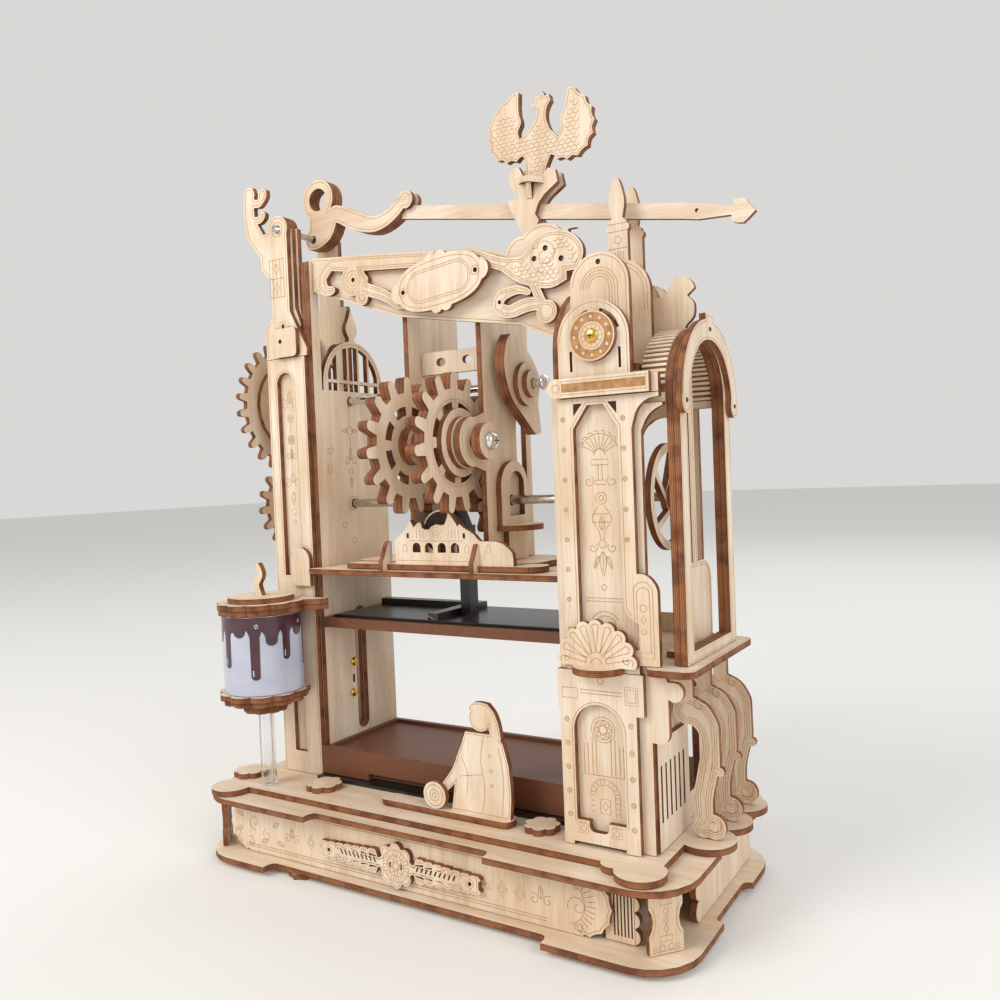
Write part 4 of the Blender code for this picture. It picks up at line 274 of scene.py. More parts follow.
def curl(a, b, inner, outer, start, end, steps=24):
    """Spiral line that winds out from its eye."""
    points = []
    for i in range(steps + 1):
        t = i / steps
        angle = math.radians(start + (end - start) * t)
        radius = inner + (outer - inner) * t
        points.append((a + radius * math.cos(angle), b + radius * math.sin(angle)))
    return points


def curl_pair(a, away, b, inner, outer, sweep, steps):
    """Two spirals on either side of a middle line."""
    return [curl(a - away, b, inner, outer, 0, sweep, steps),
            curl(a + away, b, inner, outer, 180, 180 - sweep, steps)]


def flipped(points, middle):
    return [(2 * middle - a, b) for a, b in points]


def lift(face, a, b, depth):
    """Point in the model, in metres, of a point on a front, side or flat sheet."""
    if face == "front":
        x, y, z = a, depth, b
    elif face == "side":
        x, y, z = depth, a, b
    else:
        x, y, z = a, b, depth
    return Vector((x - BASE_SHIFT, y, z)) / 1000


def depth_sign(face):
    """Side on which a sheet's face lies: front sheets look along -Y, side sheets along +X, flat ones up."""
    return -1 if face == "front" else 1


def bound(node, pick, k):
    """Least or greatest coordinate of a node along an axis, in millimetres."""
    return pick(v.co[k] for v in frame["nodes"][node].data.vertices) * 1000


# ---- Making pieces ----

def finish_piece(name, mesh, finishes, body, smooth=32):
    """Object at the origin with its materials, shaded smooth except at corners, that rides on a body."""
    for finish in finishes:
        mesh.materials.append(finish)
    mesh.shade_smooth()
    mesh.set_sharp_from_angle(angle=math.radians(smooth))
    made = bpy.data.objects.new(name, mesh)
    bpy.context.scene.collection.objects.link(made)
    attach(made, body)
    return made


def from_bmesh(name, solid, finishes, body, smooth=32):
    """Piece of a solid, which is freed."""
    mesh = bpy.data.meshes.new(name)
    solid.to_mesh(mesh)
    solid.free()
    return finish_piece(name, mesh, finishes, body, smooth)


def on_face(face, depth):
    """Rule that puts a point of a sheet's face, and its rise above the face, into the model."""
    return lambda a, b, rise: lift(face, a, b, depth + depth_sign(face) * rise)


def engrave(name, body, place, lines, width=0.30, finish=None):
    """Lines burnt into a sheet's face, as shallow ribbons that follow each line."""
    solid = bmesh.new()
    for line in lines:
        loop = len(line) > 2 and math.dist(line[0], line[-1]) < SAME
        points = line[:-1] if loop else line
        count = len(points)
        rows = []
        for i, (a, b) in enumerate(points):
            before = points[i - 1] if loop or i > 0 else points[i]
            after = points[(i + 1) % count] if loop or i + 1 < count else points[i]
            angle = math.atan2(after[1] - before[1], after[0] - before[0])
            da = -math.sin(angle) * width / 2
            db = math.cos(angle) * width / 2
            row = []
            for side, rise in ((1, 0.0), (1, PROUD), (-1, PROUD), (-1, 0.0)):
                row.append(solid.verts.new(place(a + side * da, b + side * db, rise)))
            rows.append(row)
        pairs = list(zip(rows, rows[1:] + rows[:1])) if loop else list(zip(rows, rows[1:]))
        for first, second in pairs:
            for k in range(4):
                n = (k + 1) % 4
                solid.faces.new([first[k], first[n], second[n], second[k]])
        if not loop:
            solid.faces.new(rows[0])
            solid.faces.new(rows[-1][::-1])
    bmesh.ops.recalc_face_normals(solid, faces=solid.faces[:])
    return from_bmesh(name, solid, [finish or engraved], body)


def burn(name, face, depth, lines, width=0.30, finish=None, body="frame"):
    """Lines burnt into a sheet's face at this depth."""
    engrave(name, body, on_face(face, depth), lines, width, finish)


def plates(name, face, at, shapes, cuts=(), thick=PLY, finish=None, body="frame"):
    """Sheet with the joined outline of its shapes, less its cuts."""
    points = []
    faces = []
    for outline in list(shapes) + list(cuts):
        outline = list(outline)
        if math.dist(outline[0], outline[-1]) < SAME:
            outline = outline[:-1]
        area = sum(a0 * b1 - a1 * b0 for (a0, b0), (a1, b1) in zip(outline, outline[1:] + outline[:1]))
        if area < 0:
            outline = outline[::-1]
        faces.append(list(range(len(points), len(points) + len(outline))))
        points += [Vector(p) for p in outline]
    flat, _, triangles, _, _, sources = delaunay_2d_cdt(points, [], faces, 1, 1e-5)
    solid = bmesh.new()
    corners = [solid.verts.new((p.x, p.y, 0)) for p in flat]
    for triangle, source in zip(triangles, sources):
        if any(i < len(shapes) for i in source) and not any(i >= len(shapes) for i in source):
            solid.faces.new([corners[i] for i in triangle])
    bmesh.ops.delete(solid, geom=[v for v in solid.verts if not v.link_faces], context="VERTS")
    bmesh.ops.dissolve_limit(solid, angle_limit=0.001, verts=solid.verts, edges=solid.edges)
    ends = bmesh.ops.extrude_face_region(solid, geom=solid.faces[:])
    top = [item for item in ends["geom"] if isinstance(item, bmesh.types.BMVert)]
    for vertex in solid.verts:
        vertex.co = lift(face, vertex.co.x, vertex.co.y, at)
    step = lift(face, 0, 0, depth_sign(face) * thick) - lift(face, 0, 0, 0)
    bmesh.ops.translate(solid, verts=top, vec=step)
    bmesh.ops.recalc_face_normals(solid, faces=solid.faces[:])
    if finish:
        return from_bmesh(name, solid, [finish], body)
    solid.normal_update()
    plies = solid.loops.layers.uv.new("plies")
    across = step.normalized()
    start = lift(face, 0, 0, at)
    for patch in solid.faces:
        patch.material_index = 1 if abs(patch.normal.dot(across)) < 0.5 else 0
        for loop in patch.loops:
            loop[plies].uv = (0.0, (loop.vert.co - start).dot(across) * 1000 / LAYER)
    return from_bmesh(name, solid, [veneer_upright, edge_burn], body)


def redraw(node, face, at, shapes, cuts=()):
    """Frame node drawn anew as one sheet."""
    made = plates(node + "_wood", face, at, shapes, cuts)
    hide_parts(node)


def lathe(name, body, face, a, b, profile, finish, steps, smooth=35):
    """Solid of revolution about a line square to the face, from (radius, depth) pairs."""
    solid = bmesh.new()
    rings = []
    for radius, depth in profile:
        if radius <= 0:
            rings.append([solid.verts.new(lift(face, a, b, depth))])
        else:
            circle = arc(a, b, radius, 0, 360, steps)[:-1]
            rings.append([solid.verts.new(lift(face, p, q, depth)) for p, q in circle])
    for first, second in zip(rings, rings[1:]):
        for i in range(steps):
            k = (i + 1) % steps
            corners = [first[i % len(first)], first[k % len(first)], second[k % len(second)],
                       second[i % len(second)]]
            unique = list(dict.fromkeys(corners))
            if len(unique) > 2:
                solid.faces.new(unique)
    if profile[0] == profile[-1]:
        bmesh.ops.remove_doubles(solid, verts=solid.verts, dist=0.000001)
    else:
        for end in (rings[0], rings[-1]):
            if len(end) > 1:
                solid.faces.new(end)
    bmesh.ops.recalc_face_normals(solid, faces=solid.faces[:])
    return from_bmesh(name, solid, [finish], body, smooth)


def coplanar_groups(solid):
    """Faces joined to neighbours that lie in the same plane."""
    solid.faces.ensure_lookup_table()
    seen = set()
    for face in solid.faces:
        if face.index in seen:
            continue
        seen.add(face.index)
        group = [face]
        for current in group:
            for edge in current.edges:
                for other in edge.link_faces:
                    if other.index not in seen and other.normal.dot(current.normal) > 0.9999:
                        seen.add(other.index)
                        group.append(other)
        yield group


def end_direction(before, here, after, corner, straight):
    """Direction of a curve through a point of an outline, or none at a corner."""
    first = here - before
    second = after - here
    a, b = first.length, second.length
    if a < TINY or b < TINY:
        return None
    turn = first.angle(second)
    if turn > corner or (min(a, b) > straight and turn > 0.2):
        return None
    if a > 2.5 * b:
        return first / a
    if b > 2.5 * a:
        return second / b
    return (first / a * b + second / b * a).normalized()


def bow(p0, p1, p2, p3, corner, straight):
    """Points that bend the edge from p1 to p2 into the curve of its neighbours."""
    chord = p2 - p1
    if not TINY < chord.length < 2.2 * straight:
        return None
    start = end_direction(p0, p1, p2, corner, straight) if p0 is not None else None
    end = end_direction(p1, p2, p3, corner, straight) if p3 is not None else None
    if start is None and end is None:
        return None
    start = (start or chord.normalized()) * chord.length
    end = (end or chord.normalized()) * chord.length
    points = []
    for i in range(1, BEND_POINTS + 1):
        t = i / (BEND_POINTS + 1)
        points.append((2 * t ** 3 - 3 * t ** 2 + 1) * p1 + (t ** 3 - 2 * t ** 2 + t) * start
                      + (3 * t ** 2 - 2 * t ** 3) * p2 + (t ** 3 - t ** 2) * end)
    return points


def round_out(solid, axis, corner):
    """Bends the coarse edges of the sheets that face along an axis into smooth curves."""
    near = {}
    chains = []
    for edge in solid.edges:
        if len(edge.link_faces) != 2:
            continue
        slopes = sorted(abs(face.normal[axis]) for face in edge.link_faces)
        if slopes[1] > 0.9999 and slopes[0] < 0.01:
            chains.append(edge)
            for vertex in edge.verts:
                near.setdefault(vertex, []).append(edge)
    bent = {}
    picked = []
    for edge in chains:
        ends = []
        for vertex in edge.verts:
            others = [e for e in near[vertex] if e is not edge]
            ends.append(others[0].other_vert(vertex).co.copy() if len(others) == 1 else None)
        p1, p2 = (v.co.copy() for v in edge.verts)
        points = bow(ends[0], p1, p2, ends[1], corner, COARSE / 1000)
        if points is None:
            continue
        spots = [p1.lerp(p2, (i + 1) / (BEND_POINTS + 1)) for i in range(BEND_POINTS)]
        if max((q - spot).length for q, spot in zip(points, spots)) < LEAST_BOW:
            continue
        picked.append(edge)
        for q, spot in zip(points, spots):
            bent[tuple(round(c * HALF_MICRONS) for c in spot)] = q
    made = bmesh.ops.subdivide_edges(solid, edges=picked, cuts=BEND_POINTS, use_grid_fill=True)
    for item in made["geom_inner"]:
        if isinstance(item, bmesh.types.BMVert):
            base = [c * HALF_MICRONS for c in item.co]
            for key in ((round(base[0]) + i, round(base[1]) + j, round(base[2]) + k)
                        for i in (0, -1, 1) for j in (0, -1, 1) for k in (0, -1, 1)):
                if key in bent:
                    item.co = bent[key]
                    break
    solid.normal_update()


def plain_normals(mesh):
    """Drops the normals that came with the frame, which no longer fit a mesh with joined or cut faces."""
    stored = mesh.attributes.get("custom_normal")
    if stored is not None:
        mesh.attributes.remove(stored)


def diagonals(solid):
    """Edges that split a flat four sided face into two triangles."""
    threes = [face for face in solid.faces if len(face.verts) == 3]
    longest = {face: max(face.edges, key=lambda e: e.calc_length()) for face in threes}
    found = []
    for edge in solid.edges:
        faces = edge.link_faces
        if len(faces) != 2 or faces[0].normal.angle(faces[1].normal, 1) > 0.01:
            continue
        if all(longest.get(face) is edge for face in faces):
            found.append(edge)
    return found


def dress(node, sheets, veneer, corner):
    """Plywood node drawn with veneer on its faces and scorched plies on its cut edges. Sheets names the
    direction that all its sheets face, or is mixed where they differ."""
    source = frame["nodes"][node]
    solid = bmesh.new()
    solid.from_mesh(source.data)
    bmesh.ops.remove_doubles(solid, verts=solid.verts, dist=WELD)
    bmesh.ops.dissolve_degenerate(solid, dist=0.000001, edges=solid.edges)
    solid.normal_update()
    bmesh.ops.dissolve_edges(solid, edges=diagonals(solid), use_verts=False)
    solid.normal_update()
    axis = {"front": 1, "side": 0, "flat": 2}.get(sheets)
    for k in (0, 1, 2) if axis is None else (axis,):
        round_out(solid, k, math.radians(corner))
    plies = solid.loops.layers.uv.new("plies")
    low = [min(v.co[k] for v in solid.verts) for k in range(3)]
    for group in coplanar_groups(solid):
        normal = group[0].normal
        if axis is not None:
            is_edge = abs(normal[axis]) < 0.5
            across = Vector([1.0 if k == axis else 0.0 for k in range(3)])
            start = low[axis]
        else:
            across, start, is_edge = edge_of_group(group, normal)
        for face in group:
            face.material_index = 1 if is_edge else 0
            for loop in face.loops:
                height = (loop.vert.co.dot(across) - start) * 1000 / LAYER
                loop[plies].uv = (0.0, height)
    made = from_bmesh(node + "_wood", solid, [veneer, edge_burn], source["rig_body"])
    plain_normals(made.data)
    for patch in made.data.polygons:
        patch.use_smooth = patch.material_index == 1
    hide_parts(node)


def edge_of_group(group, normal):
    """Whether a flat patch is as narrow as one or more sheets are thick, and the direction across it."""
    upright = Vector((0, 0, 1)) if abs(normal.z) < 0.9 else Vector((0, 1, 0))
    first = normal.cross(upright).normalized()
    second = normal.cross(first).normalized()
    best = None
    for across in (first, second):
        heights = [v.co.dot(across) for face in group for v in face.verts]
        span = (max(heights) - min(heights)) * 1000
        if best is None or span < best[0]:
            best = (span, across, min(heights))
    span, across, start = best
    layers = [LAYER * n + 0.1 for n in (1, 2, 3, 4)] + [PLY * n for n in (1, 2, 3)]
    is_edge = span < 2.3 or any(abs(span - layer) < 0.16 for layer in layers)
    return across, start, is_edge


def grow(name, mesh, tree, settings, corner):
    """Piece that a node tree grows on a mesh, kept as plain mesh."""
    holder = bpy.data.objects.new(name + "_holder", mesh)
    bpy.context.scene.collection.objects.link(holder)
    modifier = holder.modifiers.new("tree", "NODES")
    modifier.node_group = tree
    for item in tree.interface.items_tree:
        if item.name in settings and item.in_out == "INPUT":
            modifier[item.identifier] = settings[item.name]
    made = bpy.data.meshes.new_from_object(holder.evaluated_get(bpy.context.evaluated_depsgraph_get()))
    bpy.data.objects.remove(holder)
    made.name = name
    finish_piece(name, made, [], "frame", corner)


def start_tree(name, sockets):
    """Geometry node tree with these inputs, and the outputs of its input node."""
    tree = bpy.data.node_groups.new(name, "GeometryNodeTree")
    for label, kind in sockets:
        tree.interface.new_socket(label, in_out="INPUT", socket_type="NodeSocket" + kind)
    tree.interface.new_socket("Geometry", in_out="OUTPUT", socket_type="NodeSocketGeometry")
    return tree, add(tree, "NodeGroupInput").outputs


def end_tree(tree, geometry, finish):
    """Last nodes of a tree, which give its geometry the finish."""
    made = add(tree, "GeometryNodeSetMaterial", {}, {"Geometry": geometry, "Material": finish})
    add(tree, "NodeGroupOutput", {}, {"Geometry": made.outputs["Geometry"]})


def head_tree():
    """Node tree that puts one low dome on every point, turned by the point's own angles."""
    tree, given = start_tree("heads_on_points",
                             (("Geometry", "Geometry"), ("Radius", "Float"), ("Height", "Float"),
                              ("Sides", "Int"), ("Finish", "Material")))
    body = add(tree, "GeometryNodeMeshCone", {"Side Segments": 2},
               {"Vertices": given["Sides"], "Radius Bottom": given["Radius"], "Depth": given["Height"]})
    narrow = add(tree, "ShaderNodeMath", {"operation": "MULTIPLY", 1: 0.62}, {0: given["Radius"]})
    tree.links.new(narrow.outputs[0], body.inputs["Radius Top"])
    turn = add(tree, "GeometryNodeInputNamedAttribute", {"data_type": "FLOAT_VECTOR", "Name": "turn"})
    spread = add(tree, "GeometryNodeInstanceOnPoints", {},
                 {"Points": given["Geometry"], "Instance": body.outputs["Mesh"],
                  "Rotation": turn.outputs["Attribute"]})
    real = add(tree, "GeometryNodeRealizeInstances", {}, {"Geometry": spread.outputs["Instances"]})
    end_tree(tree, real.outputs["Geometry"], given["Finish"])
    return tree


def screw_heads(name, points, radius, height, finish):
    """Low domes that face outward, at (face, a, b, depth) points."""
    mesh = bpy.data.meshes.new(name + "_points")
    mesh.from_pydata([tuple(lift(*p)) for p in points], [], [])
    turns = mesh.attributes.new("turn", "FLOAT_VECTOR", "POINT")
    for i, p in enumerate(points):
        turns.data[i].vector = (math.pi / 2, 0, 0) if p[0] == "front" else (0, math.pi / 2, 0)
    settings = {"Radius": radius / 1000, "Height": height / 1000, "Sides": 12, "Finish": finish}
    grow(name, mesh, head_tree(), settings, 50)


# ---- Plywood nodes ----

# Nodes by the way their sheets face, with their veneer and the turn that a coarse arc may take at each edge
WOOD = (
    ("base_fascia left_tower_front left_post left_post_rear cross_brace tower_door_frame tower_backing "
     "tower_upper_frame tower_rear crest_scrolls bird_finial", "front", veneer_upright, CORNER),
    ("crest_beam counterweight_lever", "front", veneer_level, CORNER),
    ("bay_wall_left_outer centre_plate_left centre_plate_right hand_wheel cam_stack bay_wall_right "
     "tower_side pavilion_arch", "side", veneer_upright, CORNER),
    ("drive_pinion press_pinion_left press_pinion_right cam_gear press_gear_left press_gear_right",
     "side", veneer_upright, 58),
    ("base_plate_lower base_plate_upper base_moulding_plate deck_plate", "flat", veneer_level, 50),
    ("base_skirt base_corner_bracket_left base_corner_bracket_right left_tower_walls rod_arch "
     "ledge_and_scrolls printer_figure deck_board pavilion_vault", "mixed", veneer_upright, CORNER),
)
for nodes, sheets, veneer, corner in WOOD:
    for node in nodes.split():
        dress(node, sheets, veneer, corner)


# ---- Metal, plastic and film ----

# Faces of at least this many square metres are shaded flat
LARGE_FACE = 0.00002


def smooth_node(node, finish, slot, corner):
    """Node redrawn with welded points and soft shading in its own finish."""
    source = frame["nodes"][node]
    solid = bmesh.new()
    solid.from_mesh(source.data)
    bmesh.ops.remove_doubles(solid, verts=solid.verts, dist=WELD)
    made = from_bmesh(node + "_skin", solid, [finish], source["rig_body"], corner)
    plain_normals(made.data)
    for patch in made.data.polygons:
        patch.use_smooth = patch.area < LARGE_FACE
    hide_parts(node)


for finish, slot, corner, nodes in (
        (brown_abs, "brown_plastic", 12, ("type_bed", "platen")),
        (black_abs, "black_plastic", 35, ("bed_base", "platen_insert")),
        (steel, "steel_rod", 35, ("lever_pivot", "drive_rod")),
        (chrome, "steel_rod", 35, ("cam_axle",)),
        (steel, "steel_rod", 35, ("base_corner_rod",)),
        (acrylic, "clear_acrylic", 35, ("bucket_tube",))):
    for node in nodes:
        smooth_node(node, finish, slot, corner)


# ---- Lines that follow a sheet's own outline ----

def outline_loops(node, face, depth):
    """Closed outlines, in the sheet's millimetres, of a node's faces that look out at this depth."""
    axis = {"front": 1, "side": 0, "flat": 2}[face]
    level = lift(face, 0, 0, depth)[axis]
    solid = bmesh.new()
    solid.from_mesh(frame["nodes"][node].data)
    bmesh.ops.remove_doubles(solid, verts=solid.verts, dist=WELD)
    solid.normal_update()
    flat = [f for f in solid.faces if f.normal[axis] * depth_sign(face) > 0.99
            and abs(f.calc_center_median()[axis] - level) < 0.00015]
    after = {}
    for patch in flat:
        for loop in patch.loops:
            if not any(other in flat for other in loop.edge.link_faces if other is not patch):
                after.setdefault(loop.vert, []).append(loop.link_loop_next.vert)
    across, up = {"front": (0, 2), "side": (1, 2), "flat": (0, 1)}[face]
    shift = 0 if face == "side" else BASE_SHIFT
    found = []
    while after:
        start = next(iter(after))
        points = []
        vertex = start
        while vertex in after:
            points.append((vertex.co[across] * 1000 + shift, vertex.co[up] * 1000))
            nexts = after[vertex]
            follower = nexts.pop()
            if not nexts:
                del after[vertex]
            vertex = follower
        found.append(rounded(points))
    solid.free()
    return found


def rounded(points):
    """Closed outline with its coarse arcs turned into curves."""
    count = len(points)
    flat = [Vector(p) for p in points]
    result = []
    for i in range(count):
        result.append(points[i])
        ends = [flat[k % count] for k in range(i - 1, i + 3)]
        inner = bow(*ends, math.radians(CORNER), COARSE)
        result += [tuple(q) for q in inner or []]
    return result


def gap_to(point, loops):
    """Distance from a point to the nearest outline."""
    best = 1e9
    for points in loops:
        for (a0, b0), (a1, b1) in zip(points, points[1:] + points[:1]):
            da, db = a1 - a0, b1 - b0
            size = da * da + db * db
            t = 0 if size == 0 else max(0, min(1, ((point[0] - a0) * da + (point[1] - b0) * db) / size))
            best = min(best, math.hypot(point[0] - a0 - t * da, point[1] - b0 - t * db))
    return best


def is_inside(point, loops):
    """Whether a level ray from the point crosses the outlines an odd number of times."""
    crossings = 0
    for points in loops:
        for (a0, b0), (a1, b1) in zip(points, points[1:] + points[:1]):
            if (b0 > point[1]) != (b1 > point[1]) and point[0] < a0 + (a1 - a0) * (point[1] - b0) / (b1 - b0):
                crossings += 1
    return crossings % 2 == 1


def inset(points, distance, loops):
    """Runs of a line that keeps its distance inside an outline and clear of all the others."""
    count = len(points)
    shifted = []
    for i, (a, b) in enumerate(points):
        before = points[i - 1]
        after = points[(i + 1) % count]
        first = math.atan2(b - before[1], a - before[0])
        second = math.atan2(after[1] - b, after[0] - a)
        half = math.remainder(second - first, 2 * math.pi) / 2
        reach = distance / max(0.35, math.cos(half))
        angle = first + half + math.pi / 2
        shifted.append((a + reach * math.cos(angle), b + reach * math.sin(angle)))
    keep = [is_inside(p, loops) and gap_to(p, loops) > distance * 0.93 for p in shifted]
    if all(keep):
        return [closed(shifted)]
    runs = []
    start = keep.index(False)
    run = []
    for k in range(1, count + 1):
        i = (start + k) % count
        if keep[i]:
            run.append(shifted[i])
        elif run:
            runs.append(run)
            run = []
    return [r for r in runs if len(r) > 1]


def borders(name, node, face, depth, distances, width=0.30, least=0.0, box=None, body="frame"):
    """Engraved lines along a sheet's own outlines. Outlines shorter than the least length are left plain, and
    a box keeps the lines within its limits."""
    loops = outline_loops(node, face, depth)
    lines = []
    for points in loops:
        length = sum(math.dist(p, q) for p, q in zip(points, points[1:] + points[:1]))
        if length < least:
            continue
        for distance in distances:
            for run in inset(points, distance, loops):
                part = []
                for p in run:
                    if box is None or (box[0] < p[0] < box[1] and box[2] < p[1] < box[3]):
                        part.append(p)
                    else:
                        lines.append(part)
                        part = []
                lines.append(part)
    lines = [line for line in lines if len(line) > 1]
    if lines:
        burn(name, face, depth, lines, width, None, body)
    return loops


def scales(loops, box, pitch, radius, margin, turn=0.0):
    """Rows of small arcs, as feathers are drawn, that stay inside an outline."""
    lines = []
    row = 0
    b = box[2]
    while b < box[3]:
        a = box[0] + (pitch / 2 if row % 2 else 0)
        while a < box[1]:
            line = arc(a, b, radius, 200 + turn, 340 + turn, 5)
            if all(is_inside(p, loops) and gap_to(p, loops) > margin for p in line):
                lines.append(line)
            a += pitch
        b += pitch * 0.62
        row += 1
    return lines


# ---- Small drawn motifs ----

def lozenge(a, b, half_width, half_height):
    return closed([(a - half_width, b), (a, b - half_height), (a + half_width, b), (a, b + half_height)])


def rays(a, b, inner, outer, start, end, count):
    lines = []
    for i in range(count):
        angle = math.radians(start + (end - start) * i / max(1, count - 1))
        c, s = math.cos(angle), math.sin(angle)
        lines.append([(a + inner * c, b + inner * s), (a + outer * c, b + outer * s)])
    return lines


def petals(a, b, inner, outer, count):
    """Ring of pointed leaves round a middle."""
    lines = []
    for i in range(count):
        angle = 2 * math.pi * i / count
        half = 0.75 * math.pi / count
        middle = (inner + outer) / 2
        near = (a + inner * math.cos(angle), b + inner * math.sin(angle))
        far = (a + outer * math.cos(angle), b + outer * math.sin(angle))
        left = (a + middle * math.cos(angle - half), b + middle * math.sin(angle - half))
        right = (a + middle * math.cos(angle + half), b + middle * math.sin(angle + half))
        lines.append(spline([near, left, far, right], 3, True))
    return lines


def leaf(a, b, length, width, angle):
    """Pointed leaf with its rib."""
    turn = math.radians(angle)
    c, s = math.cos(turn), math.sin(turn)
    shape = [(0, 0), (length * 0.35, width / 2), (length, 0), (length * 0.35, -width / 2)]
    outline = spline([(a + u * c - v * s, b + u * s + v * c) for u, v in shape], 4, True)
    return [outline, [(a, b), (a + length * 0.8 * c, b + length * 0.8 * s)]]


def volutes(a, b, size):
    """Pair of curls that face each other with a bud between them."""
    left = curl(a - size * 0.55, b, size * 0.08, size * 0.42, 60, 480, 20)
    lines = [left, flipped(left, a)]
    lines += leaf(a, b + size * 0.1, size * 0.9, size * 0.4, 90)
    return lines


def double(a0, a1, b, step):
    return [[(a0, b), (a1, b)], [(a0, b + step), (a1, b + step)]]


def boxes(*limits):
    """Closed lines round upright boxes."""
    return [closed(rect(*limit)) for limit in limits]


def rivets(places, radii):
    """Small rings round each place."""
    return [ring(a, b, r, 12) for a, b in places for r in radii]


def oval(a, b, half_width, half_height):
    """Closed line between an ellipse and a box."""
    points = []
    for k in range(65):
        c, s = (turn(2 * math.pi * k / 64) for turn in (math.cos, math.sin))
        points.append((a + half_width * math.copysign(abs(c) ** 0.8, c),
                       b + half_height * math.copysign(abs(s) ** 0.8, s)))
    return points


def turned_about(points, a, b, degrees):
    turn = math.radians(degrees)
    c, s = math.cos(turn), math.sin(turn)
    return [(a + (p - a) * c - (q - b) * s, b + (p - a) * s + (q - b) * c) for p, q in points]


def stadium(a, b, half, radius, steps=14):
    """Closed line round a bar with round ends."""
    return closed(arc(a + half, b, radius, -90, 90, steps) + arc(a - half, b, radius, 90, 270, steps))


# ---- Base ----

FASCIA = -47.0
SLAT_END = 96.2
SLATS = 6
MIDDLE_Z = 15.4
lines = double(-97, 62, 25.8, 1.1) + double(-97, 62, 7.4, 1.1)
for a in (42.5, 50.3, -56.6, -49.0):
    lines += [lozenge(a, MIDDLE_Z, 2.3, 3.2), lozenge(a, MIDDLE_Z, 1.1, 1.6)]
for a, size in ((59.5, 5.4), (-68.0, 5.0), (34.0, 4.2), (-42.0, 4.2)):
    lines += volutes(a, MIDDLE_Z - 0.6, size)
lines += [curl(75.0, 15.6, 0.6, 4.4, 100, 560), curl(74.6, 8.4, 0.4, 2.2, 0, 400, 16),
          curl(74.8, 22.8, 0.4, 2.2, 0, -400, 16)]
lines += rays(70.0, 16.6, 8.6, 12.4, -62, 62, 13)
lines.append(arc(70.0, 16.6, 8.0, -80, 80, 20))
lines += [curl(-91.3, 18.7, 0.5, 3.7, 200, 640), curl(-94.0, 9.4, 0.4, 2.6, 90, 500, 18),
          curl(-105.0, 12.6, 0.5, 4.0, 300, 740), curl(-83.5, 14.0, 0.4, 2.8, 180, -240, 18)]
for a, b, turn in ((-99.0, 20.5, 150), (-87.0, 10.2, 20), (-99.5, 15.0, 200), (-79.5, 18.5, 30),
                   (-77.0, 12.0, -20), (-100.5, 8.4, 190)):
    lines += leaf(a, b, 4.2, 2.0, turn)
burn("fascia_engraving", "front", FASCIA, lines)
borders("fascia_border", "base_fascia", "front", FASCIA, [1.0], 0.28, 60, (64, 90, 0, 40))

ROSETTE = -49.4
ROSE = (-7.4, 15.55)
lines = [ring(*ROSE, 1.5, 16), ring(*ROSE, 4.3, 28), ring(*ROSE, 6.6, 32)]
lines += petals(*ROSE, 1.7, 4.1, 8) + rays(*ROSE, 4.6, 6.3, 0, 345, 24)
burn("rosette_engraving", "front", ROSETTE, lines, 0.26)
borders("wing_border", "base_fascia", "front", ROSETTE, [0.75], 0.26)
slots = []
for side in (-1, 1):
    slots.append([(ROSE[0] + side * 2.9, 14.4), (ROSE[0] + side * 2.9, 16.7)])
    for i in range(9):
        a = ROSE[0] + side * (10.6 + 2.25 * i)
        slots.append([(a, 15.2), (a + side * 1.0, 17.2)])
# Painted shade: dark ribbons stand in for the shade seen through the wing slots
burn("wing_slots", "front", ROSETTE, slots, 0.7, shade_fill)
plates("slat_panel", "front", -44.6, [rect(84.9, SLAT_END, 5.5, 28.6)], [], 0.3)
slots = [[(SLAT_END - 0.9 - 1.35 * k, b) for b in (7.6, 26.6)] for k in range(SLATS)]
# Painted shade: dark ribbons stand in for the shade seen through the slats
burn("slat_slots", "front", -44.9, slots, 0.55, shade_fill)


def on_turned_sheet(x, y, degrees):
    """Rule for a sheet that starts at a corner and runs off at an angle."""
    turn = math.radians(degrees)
    along = Vector((math.cos(turn), math.sin(turn), 0))
    out = Vector((math.sin(turn), -math.cos(turn), 0))
    start = Vector((x - BASE_SHIFT, y, 0))
    return lambda a, b, rise: (start + along * a + out * rise + Vector((0, 0, b))) / 1000


BRACKET = 6.7
BRACKET_HIGH = 17.05
bend = arc(-6.9, BRACKET_HIGH, 9.5, -38, 38, 14)
lines = [bend, flipped(bend, BRACKET)]
for b, line_b in ((7.4, 6.2), (26.7, 27.9)):
    lines.append([(1.0, line_b), (12.4, line_b)])
    lines += [ring(a, b, 0.7, 12) for a in (2.2, 11.2)] + [ring(a, b, 1.1, 12) for a in (5.0, 8.4)]
lines += boxes((4.4, 9.0, 9.6, 11.6), (4.4, 9.0, 22.5, 24.5))
lines += [lozenge(BRACKET, b, 1.0, 1.5) for b in (14.0, BRACKET_HIGH, 20.1)]
for label, x, y, angle in (("right", 103.7, -49.3, 50.5), ("left", -107.8, -48.5, 129.5)):
    engrave("corner_bracket_engraving_" + label, "frame", on_turned_sheet(x, y, angle), lines, 0.26)


# ---- Left tower ----

